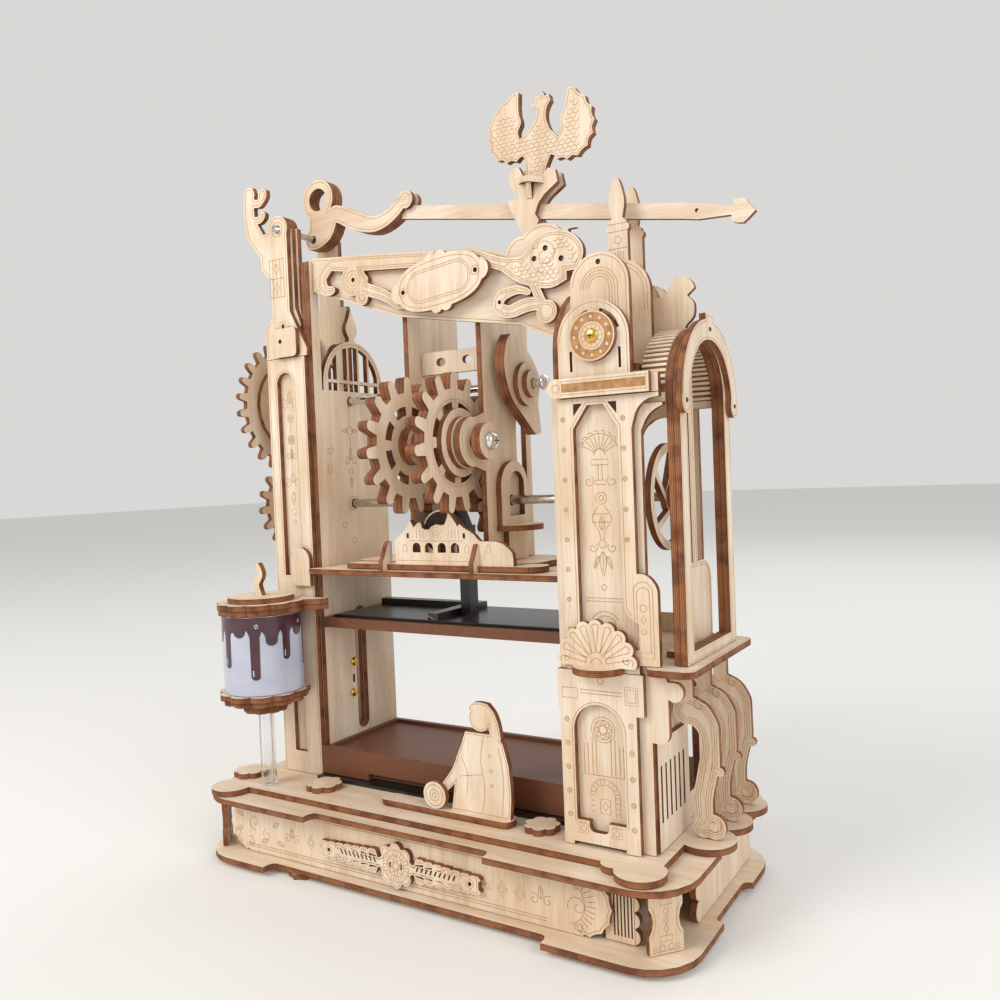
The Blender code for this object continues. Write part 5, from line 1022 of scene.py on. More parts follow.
LEFT_PANEL = -17.6
PANEL = -86.3
lines = volutes(PANEL, 212.0, 6.4) + volutes(PANEL, 174.0, 6.0)
lines += [ring(PANEL, 205.0, 1.7, 16), ring(PANEL, 205.0, 0.8, 12), ring(PANEL, 195.0, 2.2, 18)]
lines += petals(PANEL, 195.0, 0.5, 2.0, 6)
lines += [[(PANEL, 203.0), (PANEL, 198.0)], [(PANEL, 192.0), (PANEL, 181.0)]]
lines += curl_pair(PANEL, 2.3, 187.5, 0.3, 1.9, 400, 16)
lines += leaf(PANEL, 190.5, 5.0, 1.8, -90) + leaf(PANEL, 170.0, 6.5, 2.4, -90)
lines += [lozenge(PANEL, 160.5, 1.4, 2.2), ring(PANEL, 155.5, 1.0, 12)]
burn("left_panel_engraving", "front", LEFT_PANEL, lines, 0.28)

LEFT_FRAME = -20.0
borders("left_frame_border", "left_tower_front", "front", LEFT_FRAME, [0.9], 0.26, 80)
post = [[(-93.2 + 2.3 * k, 263.0), (-93.2 + 2.3 * k, 281.0)] for k in range(5)]
post += [[(-93.8, b), (-83.4, b)] for b in (263.0, 272.0, 281.0)]
post += [lozenge(-88.6, 267.5, 1.6, 2.4), lozenge(-88.6, 276.5, 1.6, 2.4)]
post += [ring(-87.0, 295.0, 3.4, 24), ring(-86.9, 245.0, 2.0, 18)]
burn("left_post_engraving", "front", LEFT_FRAME, post, 0.26)
borders("left_post_border", "left_post", "front", LEFT_FRAME, [1.1], 0.26, 60)

WALL = -70.5
WALL_MIDDLE = 6.6
lines = volutes(WALL_MIDDLE, 221.0, 5.2) + volutes(WALL_MIDDLE, 184.0, 5.2)
lines += [ring(WALL_MIDDLE, 199.0, 2.0, 16), ring(WALL_MIDDLE, 189.5, 1.0, 12), ring(0.2, 152.8, 1.5, 14),
          ring(7.1, 144.8, 1.5, 14), ring(WALL_MIDDLE, 179.0, 1.3, 12),
          [(WALL_MIDDLE, 217.0), (WALL_MIDDLE, 202.0)], [(WALL_MIDDLE, 196.5), (WALL_MIDDLE, 191.0)]]
lines += leaf(WALL_MIDDLE, 215.0, 5.0, 2.0, -90) + leaf(WALL_MIDDLE, 176.0, 5.0, 2.0, -90)
lines += leaf(5.0, 199.0, 4.0, 1.8, 180) + leaf(8.2, 199.0, 4.0, 1.8, 0)
lines += [curl(-8.2, 189.4, 0.4, 2.6, 0, 420), curl(-8.2, 180.0, 0.4, 2.2, 180, -240),
          ring(7.5, 163.2, 3.4, 20)]
burn("wall_engraving", "side", WALL, lines, 0.30)

# Wall towards the bay, its window's tracery drawn with curved heads
NAVE = 11.15
NAVE_HALF = 21.85
SPRING = 221.15
DRIVE = 8.2
spire = [(NAVE - 3.2, 241.0), (NAVE - 2.0, 244.5), (NAVE - 3.3, 246.5), (NAVE - 4.2, 249.5),
         (NAVE - 3.0, 252.5), (NAVE - 1.6, 255.0), (NAVE, 259.0), (NAVE + 1.6, 255.0), (NAVE + 3.0, 252.5),
         (NAVE + 4.2, 249.5), (NAVE + 3.3, 246.5), (NAVE + 2.0, 244.5), (NAVE + 3.2, 241.0)]
shapes = [rect(-17.2, 34.0, 34.8, 218.0), rect(-17.2, -11.7, 34.8, 278.0), spline(spire, 3),
          arch(NAVE - NAVE_HALF, NAVE + NAVE_HALF, 216.0, SPRING + NAVE_HALF, 36)]
slot = arc(DRIVE, 55.25, 4.0, 180, 360, 16) + arc(DRIVE, 108.25, 4.0, 0, 180, 16)
cuts = [ring(DRIVE, b, 2.4, 20) for b in (163.0, 213.5)] + [slot]
reach = NAVE_HALF - 2.8
pane = 2 * reach / 5
for k in range(5):
    a0 = NAVE - reach + pane * k + 0.7
    a1 = a0 + pane - 1.4
    cuts.append(rect(a0, a1, 218.2, SPRING + 0.9))
    head = []
    for i in range(9):
        a = a1 - (a1 - a0) * i / 8
        head.append((a, max(SPRING + 3.2, SPRING + math.sqrt(max(reach ** 2 - (a - NAVE) ** 2, 4.0)))))
    cuts.append([(a0, SPRING + 2.5), (a1, SPRING + 2.5)] + head)
redraw("bay_wall_left_inner", "side", WALL - PLY, shapes, cuts)
burn("window_line", "side", WALL, [arc(NAVE, SPRING, NAVE_HALF - 1.3, 4, 176, 30)], 0.26)
# Painted shade: a dark ribbon stands in for the shade seen through the wall's slot
burn("wall_slot", "side", WALL, [[(1.9, 75.0), (1.9, 79.0)]], 1.4, shade_fill)


# ---- Right tower ----

DOOR_BACK = -35.2
DOOR_ROSE = (82.0, 78.5)
lines = [ring(*DOOR_ROSE, r, 28) for r in (4.8, 3.7, 1.6)] + petals(*DOOR_ROSE, 1.7, 3.5, 8)
for a in (74.0, 75.6, 77.4, 79.0, 85.0, 86.6, 88.4, 90.0):
    lines.append([(a, 61.5), (a, 75.5 if 76 < a < 88 else 73.0)])
lines += [[(73.4, 61.2), (90.6, 61.2)], arch(76.0, 88.0, 46.4, 60.0)[1:-1],
          arch(77.9, 86.1, 46.4, 57.9)[1:-1]]
lines += rays(82.0, 54.0, 4.4, 5.7, 10, 170, 9)
for k in range(4):
    b = 47.5 + 2.0 * k
    lines += [[(76.3, b), (77.6, b)], [(86.4, b), (87.7, b)]]
lines += boxes((80.0, 84.0, 47.0, 52.5)) + [lozenge(82.0, 49.8, 1.1, 1.8)]
burn("door_panel_engraving", "front", DOOR_BACK, lines, 0.28)

DOOR = -38.0
places = [(68.7, b) for b in (82.0, 73.0, 64.0, 55.0, 46.0)]
places += [(94.6, b) for b in (82.0, 72.0, 62.5, 53.0, 44.0)]
lines = rivets(places, (0.5, 0.95))
lines += boxes((67.0, 73.4, 90.2, 94.0), (92.6, 97.6, 89.5, 96.0), (93.4, 96.8, 90.4, 95.1))
lines += double(74.6, 91.4, 92.4, 1.3)
lines += [ring(83.0, 97.4, 1.2, 12), ring(74.0, 41.4, 1.1, 12), ring(87.6, 41.4, 1.1, 12)]
lines += boxes((72.0, 76.0, 39.6, 43.2), (85.6, 89.6, 39.6, 43.2))
burn("door_frame_engraving", "front", DOOR, lines, 0.26)
borders("door_border", "tower_door_frame", "front", DOOR, [0.8], 0.28, 40, (70.4, 93.0, 43.0, 90.0))

places = [(71.5, 116.0 + 11.1 * k) for k in range(8)] + [(95.6, 149.4 + 10.9 * k) for k in range(5)]
lines = rivets(places, (0.45, 0.85)) + [arch(97.3, 104.6, 107.0, 134.4), arch(98.5, 103.4, 109.0, 132.4)]
lines += [ring(100.9, 125.0, 1.3, 14), ring(100.9, 116.5, 0.9, 12), lozenge(100.9, 120.8, 0.9, 1.6)]
burn("upper_frame_engraving", "front", DOOR, lines, 0.26)
borders("octagon_border", "tower_upper_frame", "front", DOOR, [0.9], 0.26, 60, (73.0, 96.4, 112.0, 200.0))

MAST = 84.6
FAN = 180.2
lines = rays(MAST, FAN, 2.2, 7.2, 28, 152, 9)
lines += [arc(MAST, FAN, 7.8, 20, 160, 20), arc(MAST, FAN, 2.2, 0, 180, 10)]
for k in range(8):
    turn = math.radians(28 + 17.7 * k)
    lines.append(arc(MAST + 7.8 * math.cos(turn), FAN + 7.8 * math.sin(turn), 1.2,
                     -60 + 17.7 * k, 120 + 17.7 * k - 62, 6))
lines += [[(a, 176.6), (a, 171.0)] for a in (MAST - 0.8, MAST + 0.8)]
lines += boxes((MAST - 3.4, MAST + 3.4, 176.6, 178.6), (MAST - 2.2, MAST + 2.2, 169.4, 171.0))
lines += curl_pair(MAST, 4.6, 170.6, 0.4, 2.2, 420, 18)
lines += [ring(MAST, 164.4, 2.2, 18), ring(MAST, 164.4, 1.0, 12)]
vase = spline([(MAST - 1.2, 161.6), (MAST - 3.9, 157.0), (MAST - 1.4, 152.6), (MAST - 0.8, 149.4)], 5)
lines += [vase, flipped(vase, MAST)]
lines += [[(MAST - 3.0, 158.6), (MAST + 3.0, 158.6)], [(MAST - 3.2, 155.6), (MAST + 3.2, 155.6)]]
lines += leaf(MAST, 152.8, 5.0, 2.2, 90) + [ring(MAST, 147.6, 1.5, 14)]
lines += curl_pair(MAST, 3.9, 146.2, 0.4, 2.0, 400, 16) + leaf(MAST, 144.6, 9.0, 2.6, -90)
lines += leaf(MAST - 1.6, 143.0, 5.0, 1.6, -115) + leaf(MAST + 1.6, 143.0, 5.0, 1.6, -65)
lines += double(77.2, 91.8, 126.4, 1.2)
lines += [ring(MAST, 131.6, 1.0, 12), arc(MAST, 116.5, 4.6, 20, 160, 12), arc(MAST, 116.5, 6.2, 30, 150, 14)]
burn("octagon_engraving", "front", DOOR_BACK, lines, 0.28)

SHELL = -40.8
HUB = 83.0
HUB_HIGH = 104.4
REACH = 13.2
lobes = []
lines = []
for k in range(9):
    angle = math.radians(4 + 21.5 * k)
    turn = math.degrees(angle)
    c, s = math.cos(angle), math.sin(angle)
    tip = arc(HUB + REACH * c, HUB_HIGH + REACH * s, 2.85, turn - 90, turn + 90, 12)
    lobes.append([(HUB + 1.5 * s, HUB_HIGH - 1.5 * c)] + tip + [(HUB - 1.5 * s, HUB_HIGH + 1.5 * c)])
    for spread in (-0.09, 0.09):
        c2, s2 = math.cos(angle + spread), math.sin(angle + spread)
        lines.append([(HUB + 4.6 * c, HUB_HIGH + 4.6 * s), (HUB + REACH * c2, HUB_HIGH + REACH * s2)])
    lines.append(arc(HUB + 13.0 * c, HUB_HIGH + 13.0 * s, 1.5, turn - 80, turn + 80, 8))
lobes.append(rect(70.0, 96.0, 103.3, 106.5))
redraw("tower_shell", "front", SHELL + PLY, lobes, [rect(60.0, 106.0, 90.0, 103.3)])
plates("tower_shell_shelf", "flat", 100.9, [arc(HUB, -38.3, 10.0, 180, 360, 40)])
lines = [[p for p in line if p[1] > HUB_HIGH - 0.2] for line in lines]
lines = [line for line in lines if len(line) > 1]
lines += [arc(HUB, HUB_HIGH, 4.2, 0, 180, 14), arc(HUB, HUB_HIGH, 2.0, 0, 180, 10)]
lines += curl_pair(HUB, 12.1, 106.0, 0.3, 1.5, 400, 14)
burn("shell_engraving", "front", SHELL, lines, 0.30)

CLOCK = -40.4
DIAL = 85.5
DIAL_HIGH = 223.0
slots = [arc(DIAL, DIAL_HIGH, 10.2, turn, turn + 62, 14) + arc(DIAL, DIAL_HIGH, 9.0, turn + 62, turn, 14)
         for turn in (14, 104)]
slots += [rect(DIAL - 10.2, DIAL - 9.2, 211.0, 218.4), rect(DIAL + 9.2, DIAL + 10.2, 211.0, 218.4)]
shapes = [arch(70.5, 99.0, 201.5, 236.5, 40), rect(98.0, 109.3, 201.5, 208.0)]
redraw("tower_clock", "front", DOOR + PLY, shapes, slots)
shapes = [rect(70.5, 106.8, 201.5, 208.6), ring(70.2, 205.1, 3.6, 28)]
plates("clock_strip_wood", "front", CLOCK + LAYER, shapes, [], LAYER)
plates("clock_disc", "front", CLOCK + LAYER, [ring(DIAL, DIAL_HIGH, 9.0, 56)], [], LAYER)
cuts = [ring(DIAL, DIAL_HIGH, 5.1, 32)]
for k in range(12):
    angle = math.pi * k / 6
    cuts.append(ring(DIAL + 6.9 * math.cos(angle), DIAL_HIGH + 6.9 * math.sin(angle), 0.6, 10))
plates("clock_dial", "front", CLOCK, [ring(DIAL, DIAL_HIGH, 8.5, 40)], cuts, PROUD, engraved_dark)
lines = [ring(DIAL, DIAL_HIGH, 4.3, 28)] + rays(DIAL, DIAL_HIGH, 2.9, 4.0, 0, 330, 12)
burn("clock_lines", "front", CLOCK, lines, 0.24)
plates("clock_strip", "front", CLOCK, [rect(72.6, 105.6, 203.5, 206.7)], [], PROUD, engraved_dark)
lines = boxes((72.0, 106.2, 202.7, 207.5)) + [ring(70.2, 205.1, 1.5, 14)]
lines += [[(73.4 + 1.3 * k, 204.1), (74.0 + 1.3 * k, 206.1)] for k in range(25)]
burn("strip_lines", "front", CLOCK - PROUD / 2, lines, 0.2)
burn("clock_frame_lines", "front", DOOR, [arch(71.4, 98.1, 209.4, 235.6)[1:-1]], 0.26)
# Painted shade: dark triangles stand in for the shade seen through the openings at the octagon's corners
corners = [[(76.0, 199.2), (79.6, 199.2), (76.0, 194.8)], [(93.2, 199.2), (89.7, 199.2), (93.2, 194.8)]]
plates("octagon_corner_gap_shade", "front", DOOR, corners, [], PROUD, shade_fill)

TOP_ARCH = -32.4
TOP = 85.4
lines = [arch(TOP - half, TOP + half, 212.0, 241.4 + half)[1:-1] for half in (7.4, 6.3, 5.2, 4.1)]
lines.append(arch(74.7, 96.1, 212.0, 253.3)[1:-1])
burn("top_arch_engraving", "front", TOP_ARCH, lines, 0.26)
SECOND_ARCH = -12.0
lines = [arch(70.5 + d, 97.2 - d, 235.0, 255.5 - d)[1:-1] for d in (1.3, 2.6)]
burn("second_arch_engraving", "front", SECOND_ARCH, lines, 0.26)

for k, depth in enumerate((SECOND_ARCH, 8.5, 29.0)):
    borders("scroll_lines_%d" % k, "ledge_and_scrolls", "front", depth, [0.9, 1.8, 2.7], 0.24, 60,
            (100, 121, 36, 90))
    feet = [curl(115.0, 40.2, 0.4, 3.6, 0, 420, 20), curl(111.0, 85.0, 0.4, 2.6, 90, -300, 18)]
    burn("scroll_feet_%d" % k, "front", depth, feet, 0.26)
borders("porch_ring_lines", "pavilion_arch", "side", 117.5, [0.8], 0.26, 60)
borders("porch_post_lines", "pavilion_arch", "side", 115.1, [0.8], 0.24, 60)
borders("parapet_lines", "ledge_and_scrolls", "side", 107.7, [1.0, 1.9], 0.26, 40)
borders("ledge_lines", "ledge_and_scrolls", "flat", 104.0, [0.9], 0.24, 60)


# ---- Deck, figure, crest and lever ----

FACADE = -19.0
peaks = [(-24.6, 147.0), (-22.6, 148.8), (-20.0, 150.5), (-18.6, 152.0), (-17.0, 154.3), (-15.9, 156.0),
         (-15.0, 154.4), (-14.1, 152.8), (-12.6, 154.1), (-11.2, 155.0), (-10.0, 154.7), (-9.6, 152.6),
         (-8.0, 151.8), (-5.6, 151.9), (-4.6, 153.0), (-2.0, 154.0), (1.0, 153.6), (2.7, 154.2), (3.8, 156.6),
         (4.4, 158.7), (5.4, 158.2), (7.0, 156.3), (8.5, 154.3), (9.1, 153.0), (10.2, 154.2), (12.2, 152.6),
         (15.4, 151.0), (17.8, 149.4), (19.2, 147.7), (20.6, 146.8), (28.4, 146.8), (31.4, 145.9),
         (34.6, 143.6), (36.0, 142.0), (36.4, 139.4), (36.4, 136.4), (-24.6, 136.4)]
windows = [arch(start, start + 4.3, 141.8, 146.1) for start in (-15.0, -8.3, -1.5, 5.4)]
windows += [rect(-18.0, -16.8, 148.0, 150.2), rect(11.8, 13.0, 148.0, 150.2)]
redraw("deck_facade", "front", FACADE + PLY, [peaks], windows)
DOME = (-1.2, 150.4)
plates("deck_dome", "front", FACADE + 2 * PLY, [ring(*DOME, 9.8, 48), rect(-9.0, 7.0, 136.4, 150.0)])
# Painted shade: a dark disc over the dome's face stands in for the shade that the dome lies in
plates("deck_dome_painted_shade", "front", FACADE + PLY, [ring(*DOME, 9.1, 40)], [], PROUD, shade_fill)
shapes = [rect(-52.0, 44.0, -20.4, -11.0), ring(42.0, -13.4, 7.0, 28)]
plates("deck_board_front", "flat", 134.1, shapes, [], LAYER)
support = [(-23.4, 133.9), (-23.4, 138.0), (-22.4, 139.2), (-19.6, 145.0), (-18.4, 146.4), (-16.6, 146.6),
           (-16.6, 136.0), (-19.0, 133.9)]
for label, x in (("left", -31.0), ("right", 17.1)):
    plates("facade_support_" + label, "side", x, [support])
EYE = (-2.2, 149.8)
lines = [[(-16.4, 146.9), (12.0, 146.9)], [(-24.0, 138.2), (14.0, 138.2)], ring(*EYE, 1.7, 18),
         ring(*EYE, 0.8, 12)]
for a in (-19.1, 13.6, 24.4):
    lines += boxes((a - 1.0, a + 1.0, 142.0, 144.8)) + [[(a - 0.5, 145.2), (a + 0.5, 145.2)]]
lines += [arc(*EYE, 3.0, start, start + 44, 6) for start in (10, 68, 126, 190, 248, 306)]
lines += [[(a, 148.0), (a, 151.6)] for a in (-12.6, -10.8, -9.0, 6.0, 7.8, 9.6)]
lines.append([(22.2, 139.0), (22.2, 143.2)])
burn("facade_lines", "front", FACADE, lines, 0.22)
lines = [arc(-4.0, 147.5, r, 0, 180, 20) for r in (3.0, 9.6)] + rays(-4.0, 147.5, 3.6, 9.0, 15, 165, 11)
burn("dome_lines", "front", -11.4, lines, 0.28)

FIGURE = -35.0
borders("figure_lines", "printer_figure", "front", FIGURE, [0.7], 0.26)
folds = ([(29.0, 70.0), (27.0, 60.0), (28.5, 48.0), (27.0, 38.5)], [(35.5, 66.0), (37.5, 54.0), (36.5, 39.0)],
         [(17.6, 60.0), (20.5, 53.0), (19.6, 45.0)])
lines = [spline(fold, 4) for fold in folds] + [[(17.0, 52.0), (27.5, 54.0)]]
lines += [ring(a, b, 0.6, 10) for a, b in ((31.5, 62.0), (31.9, 56.0), (32.0, 50.0))]
burn("coat_lines", "front", FIGURE, lines, 0.26)
burn("roller_lines", "front", -37.4, [ring(5.0, 43.0, r, 20) for r in (4.4, 2.4, 1.0)], 0.3)

borders("beam_lines", "crest_beam", "front", -15.0, [1.2], 0.26, 60)
CREST = -17.8
loops = borders("crest_lines", "crest_scrolls", "front", CREST, [0.95, 1.8], 0.26, 14)
lines = [curl(55.6, 260.8, 1.4, 7.4, 80, 640, 44)]
lines += scales(loops, (28, 73, 249, 270), 2.6, 1.3, 1.9, 20)
lines += [ring(-43.4, 265.2, r, 18) for r in (2.6, 4.2)] + [ring(-38.5, 256.5, 1.4, 12)]
burn("crest_engraving", "front", CREST, lines, 0.26)

# The name plate, its middle and its tilt in degrees
PLATE = -20.6
TILTED = (5.5, 257.0, 6.5)
PINS = (-13.4, 24.4)
shapes = [oval(*TILTED[:2], 22.4, 11.1)]
shapes += [ring(a, b, 3.1, 20) for a, b in ((3.1, 266.8), (8.0, 266.8), (3.1, 247.2), (8.0, 247.2))]
shapes += [ring(a, TILTED[1], 4.6, 24) for a in (-15.2, 26.2)]
holes = [ring(a, TILTED[1], 1.05, 14) for a in PINS]
lines = [stadium(*TILTED[:2], 9.5, r) for r in (6.9, 5.9)] + [ring(a, TILTED[1], 1.9, 16) for a in PINS]
lines.append(oval(*TILTED[:2], 20.6, 9.5))
shapes, holes, lines = ([turned_about(p, *TILTED) for p in group] for group in (shapes, holes, lines))
redraw("name_plate", "front", PLATE + PLY, shapes, holes)
burn("name_plate_lines", "front", PLATE, lines, 0.26)

BIRD = 6.55
loops = borders("bird_lines", "bird_finial", "front", BIRD, [0.8], 0.24, body="lever")
lines = scales(loops, (15, 60, 296, 330), 2.7, 1.35, 1.1)
burn("bird_feathers", "front", BIRD, lines, 0.24, body="lever")
borders("lever_lobe_lines", "counterweight_lever", "front", 4.55, [1.3], 0.24, 60, body="lever")


def recut(node, cut):
    """Cuts a dressed node and fills the hole that is left. Returns the heights of the hole's corners."""
    mesh = bpy.data.objects[node + "_wood"].data
    solid = bmesh.new()
    solid.from_mesh(mesh)
    cut(solid)
    open_edges = [edge for edge in solid.edges if len(edge.link_faces) == 1]
    heights = [v.co.z * 1000 for edge in open_edges for v in edge.verts]
    bmesh.ops.holes_fill(solid, edges=open_edges)
    solid.to_mesh(mesh)
    solid.free()
    return heights


TIP_START = 104.0


def cut_lever(solid):
    """Takes the lever's end off, which is drawn anew."""
    bmesh.ops.bisect_plane(solid, geom=solid.verts[:] + solid.edges[:] + solid.faces[:], clear_outer=True,
                           plane_co=lift("front", TIP_START, 0, 0), plane_no=(1, 0, 0))


heights = recut("counterweight_lever", cut_lever)
head = [(110.2, 270.3), (119.0, 269.9), (122.9, 269.7), (123.5, 269.3), (123.0, 267.7), (124.0, 266.9),
        (125.6, 266.3), (127.8, 266.0), (129.6, 267.3), (132.5, 269.8), (130.9, 271.9), (128.8, 274.8),
        (127.6, 275.3), (124.4, 275.4), (124.1, 274.6), (124.3, 273.2), (121.6, 273.3), (116.6, 274.8),
        (113.6, 275.7), (110.6, 276.3)]
head = [(TIP_START, min(heights))] + head + [(TIP_START, max(heights))]
tip = plates("lever_tip", "front", 9.45, [head], [ring(109.8, 273.8, 0.8, 16)], body="lever")
tip.data.materials[0] = veneer_level


# ---- Tower top and its spires ----

rise = bound("tower_top", min, 2) + PLY
foot = rise - 0.05
SPIRE = 79.5
SPIRE_HALF = 4.3
side_line = [(-SPIRE_HALF, 245.0), (-SPIRE_HALF, 269.4), (-5.0, 270.2), (-5.0, 271.6), (-4.0, 272.4),
             (-4.0, 273.2), (-2.3, 274.6)]
bulb = spline([(-2.3, 274.6), (-2.7, 276.6), (-3.3, 279.6), (-3.2, 282.6), (-2.5, 285.8), (-1.7, 288.6),
               (-0.9, 290.3), (0, 290.8)], 4)
left_edge = side_line + bulb[1:]
spire = [(SPIRE + a, b) for a, b in left_edge] + [(SPIRE - a, b) for a, b in left_edge[::-1][1:]]
redraw("tower_top", "front", TOP_ARCH + PLY, [arch(73.6, 97.2, foot, 254.4, 40)], [ring(TOP, 250.9, 1.0, 16)])
plates("tower_top_second_arch", "front", SECOND_ARCH + PLY, [arch(70.5, 97.2, foot, 255.5, 40)],
       [ring(83.35, 252.0, 1.0, 16)])
for label, depth in (("front", -0.55), ("rear", 14.45)):
    plates("tower_spire_" + label, "front", depth + PLY, [arch(71.0, 96.2, foot, 250.0, 40), spire])
plates("tower_cap", "flat", rise - PLY, [rect(68.1, 99.0, TOP_ARCH, 28.0)])
lines = [[(SPIRE - SPIRE_HALF, b), (SPIRE + SPIRE_HALF, b)] for b in (262.6, 269.4, 272.4)]
lines += [[(SPIRE + a, 249.0), (SPIRE + a, 261.4)] for a in (-2.4, -1.2, 0, 1.2, 2.4)]
lines.append(ring(SPIRE, 266.0, 1.5, 14))
burn("spire_lines", "front", -0.55, lines, 0.26)


# ---- Bucket seat and lid ----

def lobed(a, b, radius, lobes, depth, steps=9):
    """Round outline with even lobes, as the laser cuts them."""
    points = []
    for i in range(lobes * steps):
        angle = 2 * math.pi * i / (lobes * steps)
        reach = radius - 1.35 * depth * (1 - abs(math.sin(lobes * angle / 2)) ** 0.6)
        points.append((a + reach * math.cos(angle), b + reach * math.sin(angle)))
    return points


def ribbon(points):
    """Outline of a strip along a curve, from (place, height, width) points."""
    middle = spline([p[:2] for p in points], 5)
    left = []
    right = []
    for i, (a, b) in enumerate(middle):
        before = middle[max(i - 1, 0)]
        after = middle[min(i + 1, len(middle) - 1)]
        angle = math.atan2(after[1] - before[1], after[0] - before[0]) + math.pi / 2
        k = min(i / 5, len(points) - 1)
        n = min(int(k), len(points) - 2)
        half = (points[n][2] + (points[n + 1][2] - points[n][2]) * (k - n)) / 2
        left.append((a + half * math.cos(angle), b + half * math.sin(angle)))
        right.append((a - half * math.cos(angle), b - half * math.sin(angle)))
    return left + right[::-1]


BUCKET = (-89.0, -39.0)
BUCKET_RADIUS = 18.0
arm_low = rect(-101.0, -77.0, -39.0, -23.1)
arm_high = [(-83.0, -37.0), (-64.0, -27.1), (-62.0, -23.1), (-83.0, -23.1)]
redraw("bucket_seat", "flat", 76.9, [lobed(*BUCKET, 20.6, 11, 1.7), arm_low])
plates("bucket_seat_lower", "flat", 74.45, [lobed(*BUCKET, 18.9, 11, 1.6), arm_low])
plates("bucket_seat_foot", "flat", 72.0, [lobed(*BUCKET, 9.6, 9, 1.0)])
plates("bucket_seat_boss", "flat", 69.6, [lobed(*BUCKET, 10.1, 9, 1.0)])
redraw("bucket_lid", "flat", 117.95, [lobed(*BUCKET, 20.3, 11, 1.7), arm_low, arm_high])
plates("bucket_lid_lower", "flat", 115.5, [lobed(*BUCKET, 19.9, 11, 1.7), arm_low, arm_high])
plates("bucket_lid_disc", "flat", 120.4, [ring(*BUCKET, 15.0, 56)])

# The node's two coarse floor discs, taken off for three lobed ones
NODE_DISCS = ((-65.5, -31.5), (53.0, -31.5))
NODE_DISC_REACH = 0.0078
ground = bound("base_moulding_plate", max, 2) - LAYER


def cut_discs(solid):
    """Takes the coarse discs off the moulding plate."""
    old = []
    for face in solid.faces:
        raised = max(v.co.z for v in face.verts) * 1000 > ground + 0.2
        middles = [lift("flat", a, b, 0) for a, b in NODE_DISCS]
        if raised and any((v.co - p).xy.length < NODE_DISC_REACH for v in face.verts for p in middles):
            old.append(face)
    bmesh.ops.delete(solid, geom=old, context="FACES")


recut("base_moulding_plate", cut_discs)
for k, (a, b, radius) in enumerate(((-107.6, -33.0, 8.0), (-61.0, -32.2, 8.2), (52.2, -31.2, 7.2))):
    plates("floor_disc_%d" % k, "flat", ground, [lobed(a, b, radius, 7, 1.15)])
hook = ribbon([(-89.0, 122.0, 4.6), (-90.4, 128.0, 3.4), (-87.8, 132.8, 3.2), (-89.8, 137.4, 2.4)])
plates("bucket_hook", "front", -37.75, [hook])


# ---- Press gear ----

PRESS = (-21.0, 188.5)
for depth, radii in ((12.0, (17.2, 18.4)), (16.8, (9.8, 8.6))):
    burn("press_gear_right_rings_%d" % depth, "side", depth - 0.05, [ring(*PRESS, r, 40) for r in radii],
         0.26, body="press_shaft")


# ---- Caps, screws and ribs ----

def screw_slot(name, face, a, b, depth, reach, body="frame"):
    """Cross cut into a screw's head, drawn as a black ribbon on the head: painted shade of the recess."""
    lines = [[(a - reach, b), (a + reach, b)], [(a, b - reach), (a, b + reach)]]
    burn(name, face, depth, lines, reach * 0.36, black_abs, body)


def domed(radius, base, rise, sign, steps=7):
    """Profile of a rounded head that stands on its base."""
    points = [(radius, base)]
    for i in range(1, steps + 1):
        angle = math.pi / 2 * i / steps
        points.append((radius * math.cos(angle) if i < steps else 0, base + sign * rise * math.sin(angle)))
    return points


profile = [(1.0, -38.6), (2.6, -40.35)] + domed(2.6, -40.7, 0.9, -1)
lathe("clock_screw", "frame", "front", DIAL, DIAL_HIGH, profile, brass, 32)
screw_slot("clock_screw_slot", "front", DIAL, DIAL_HIGH, -41.56, 1.1)
profile = [(0.9, -71.0), (2.1, -70.45)] + domed(2.1, -70.2, 1.0, 1)
for k, (a, b) in enumerate(((2.4, 85.3), (1.4, 70.2))):
    lathe("wall_screw_%d" % k, "frame", "side", a, b, profile, brass, 28)
    screw_slot("wall_screw_slot_%d" % k, "side", a, b, -69.26, 0.9)
crest_screws = ((-43.4, 265.2), (55.9, 263.4), (50.7, 260.0), (62.8, 258.3), (33.8, 244.9))
screws = [("front", a, b, -16.6) for a, b in crest_screws] + [("front", TOP, 250.9, -31.2)]
PORCH = bound("pavilion_arch", max, 0) + BASE_SHIFT
screws += [("side", a, b, PORCH) for a, b in ((-32.4, 198.0), (22.0, 198.0), (-5.2, 225.6))]
screw_heads("dark_screws", screws, 0.95, 0.5, black_abs)

profile = [(16.8, 79.75), (17.0, 79.7), (17.85, 79.7), (18.0, 79.85), (18.0, 115.05), (17.85, 115.2),
           (17.0, 115.2), (16.8, 115.05), (16.8, 79.75)]
bucket = lathe("ink_bucket_wall", "frame", "flat", *BUCKET, profile, bucket_film, 96)
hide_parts("ink_bucket")

# Drips of the printed ink as (angle round the bucket, half width in degrees, length)
DRIPS = ((-126, 9, 12), (-101, 6, 23), (-78, 10, 9), (-55, 7, 28), (-31, 9, 13), (-9, 6, 20), (14, 10, 10),
         (38, 7, 25), (62, 9, 12), (86, 6, 18), (110, 9, 10), (135, 7, 26), (160, 9, 12), (185, 6, 19),
         (209, 9, 11))
DRIPS_TOP = 114.9
BETWEEN_DRIPS = 5.4
MM_PER_DEGREE = 0.314
COLUMNS = 540


def on_bucket(along, height, rise):
    """Rule for the film round the bucket: distance along it from the side that faces +X, and height."""
    angle = along / BUCKET_RADIUS
    reach = BUCKET_RADIUS + rise
    return lift("flat", BUCKET[0] + reach * math.cos(angle), BUCKET[1] + reach * math.sin(angle), height)


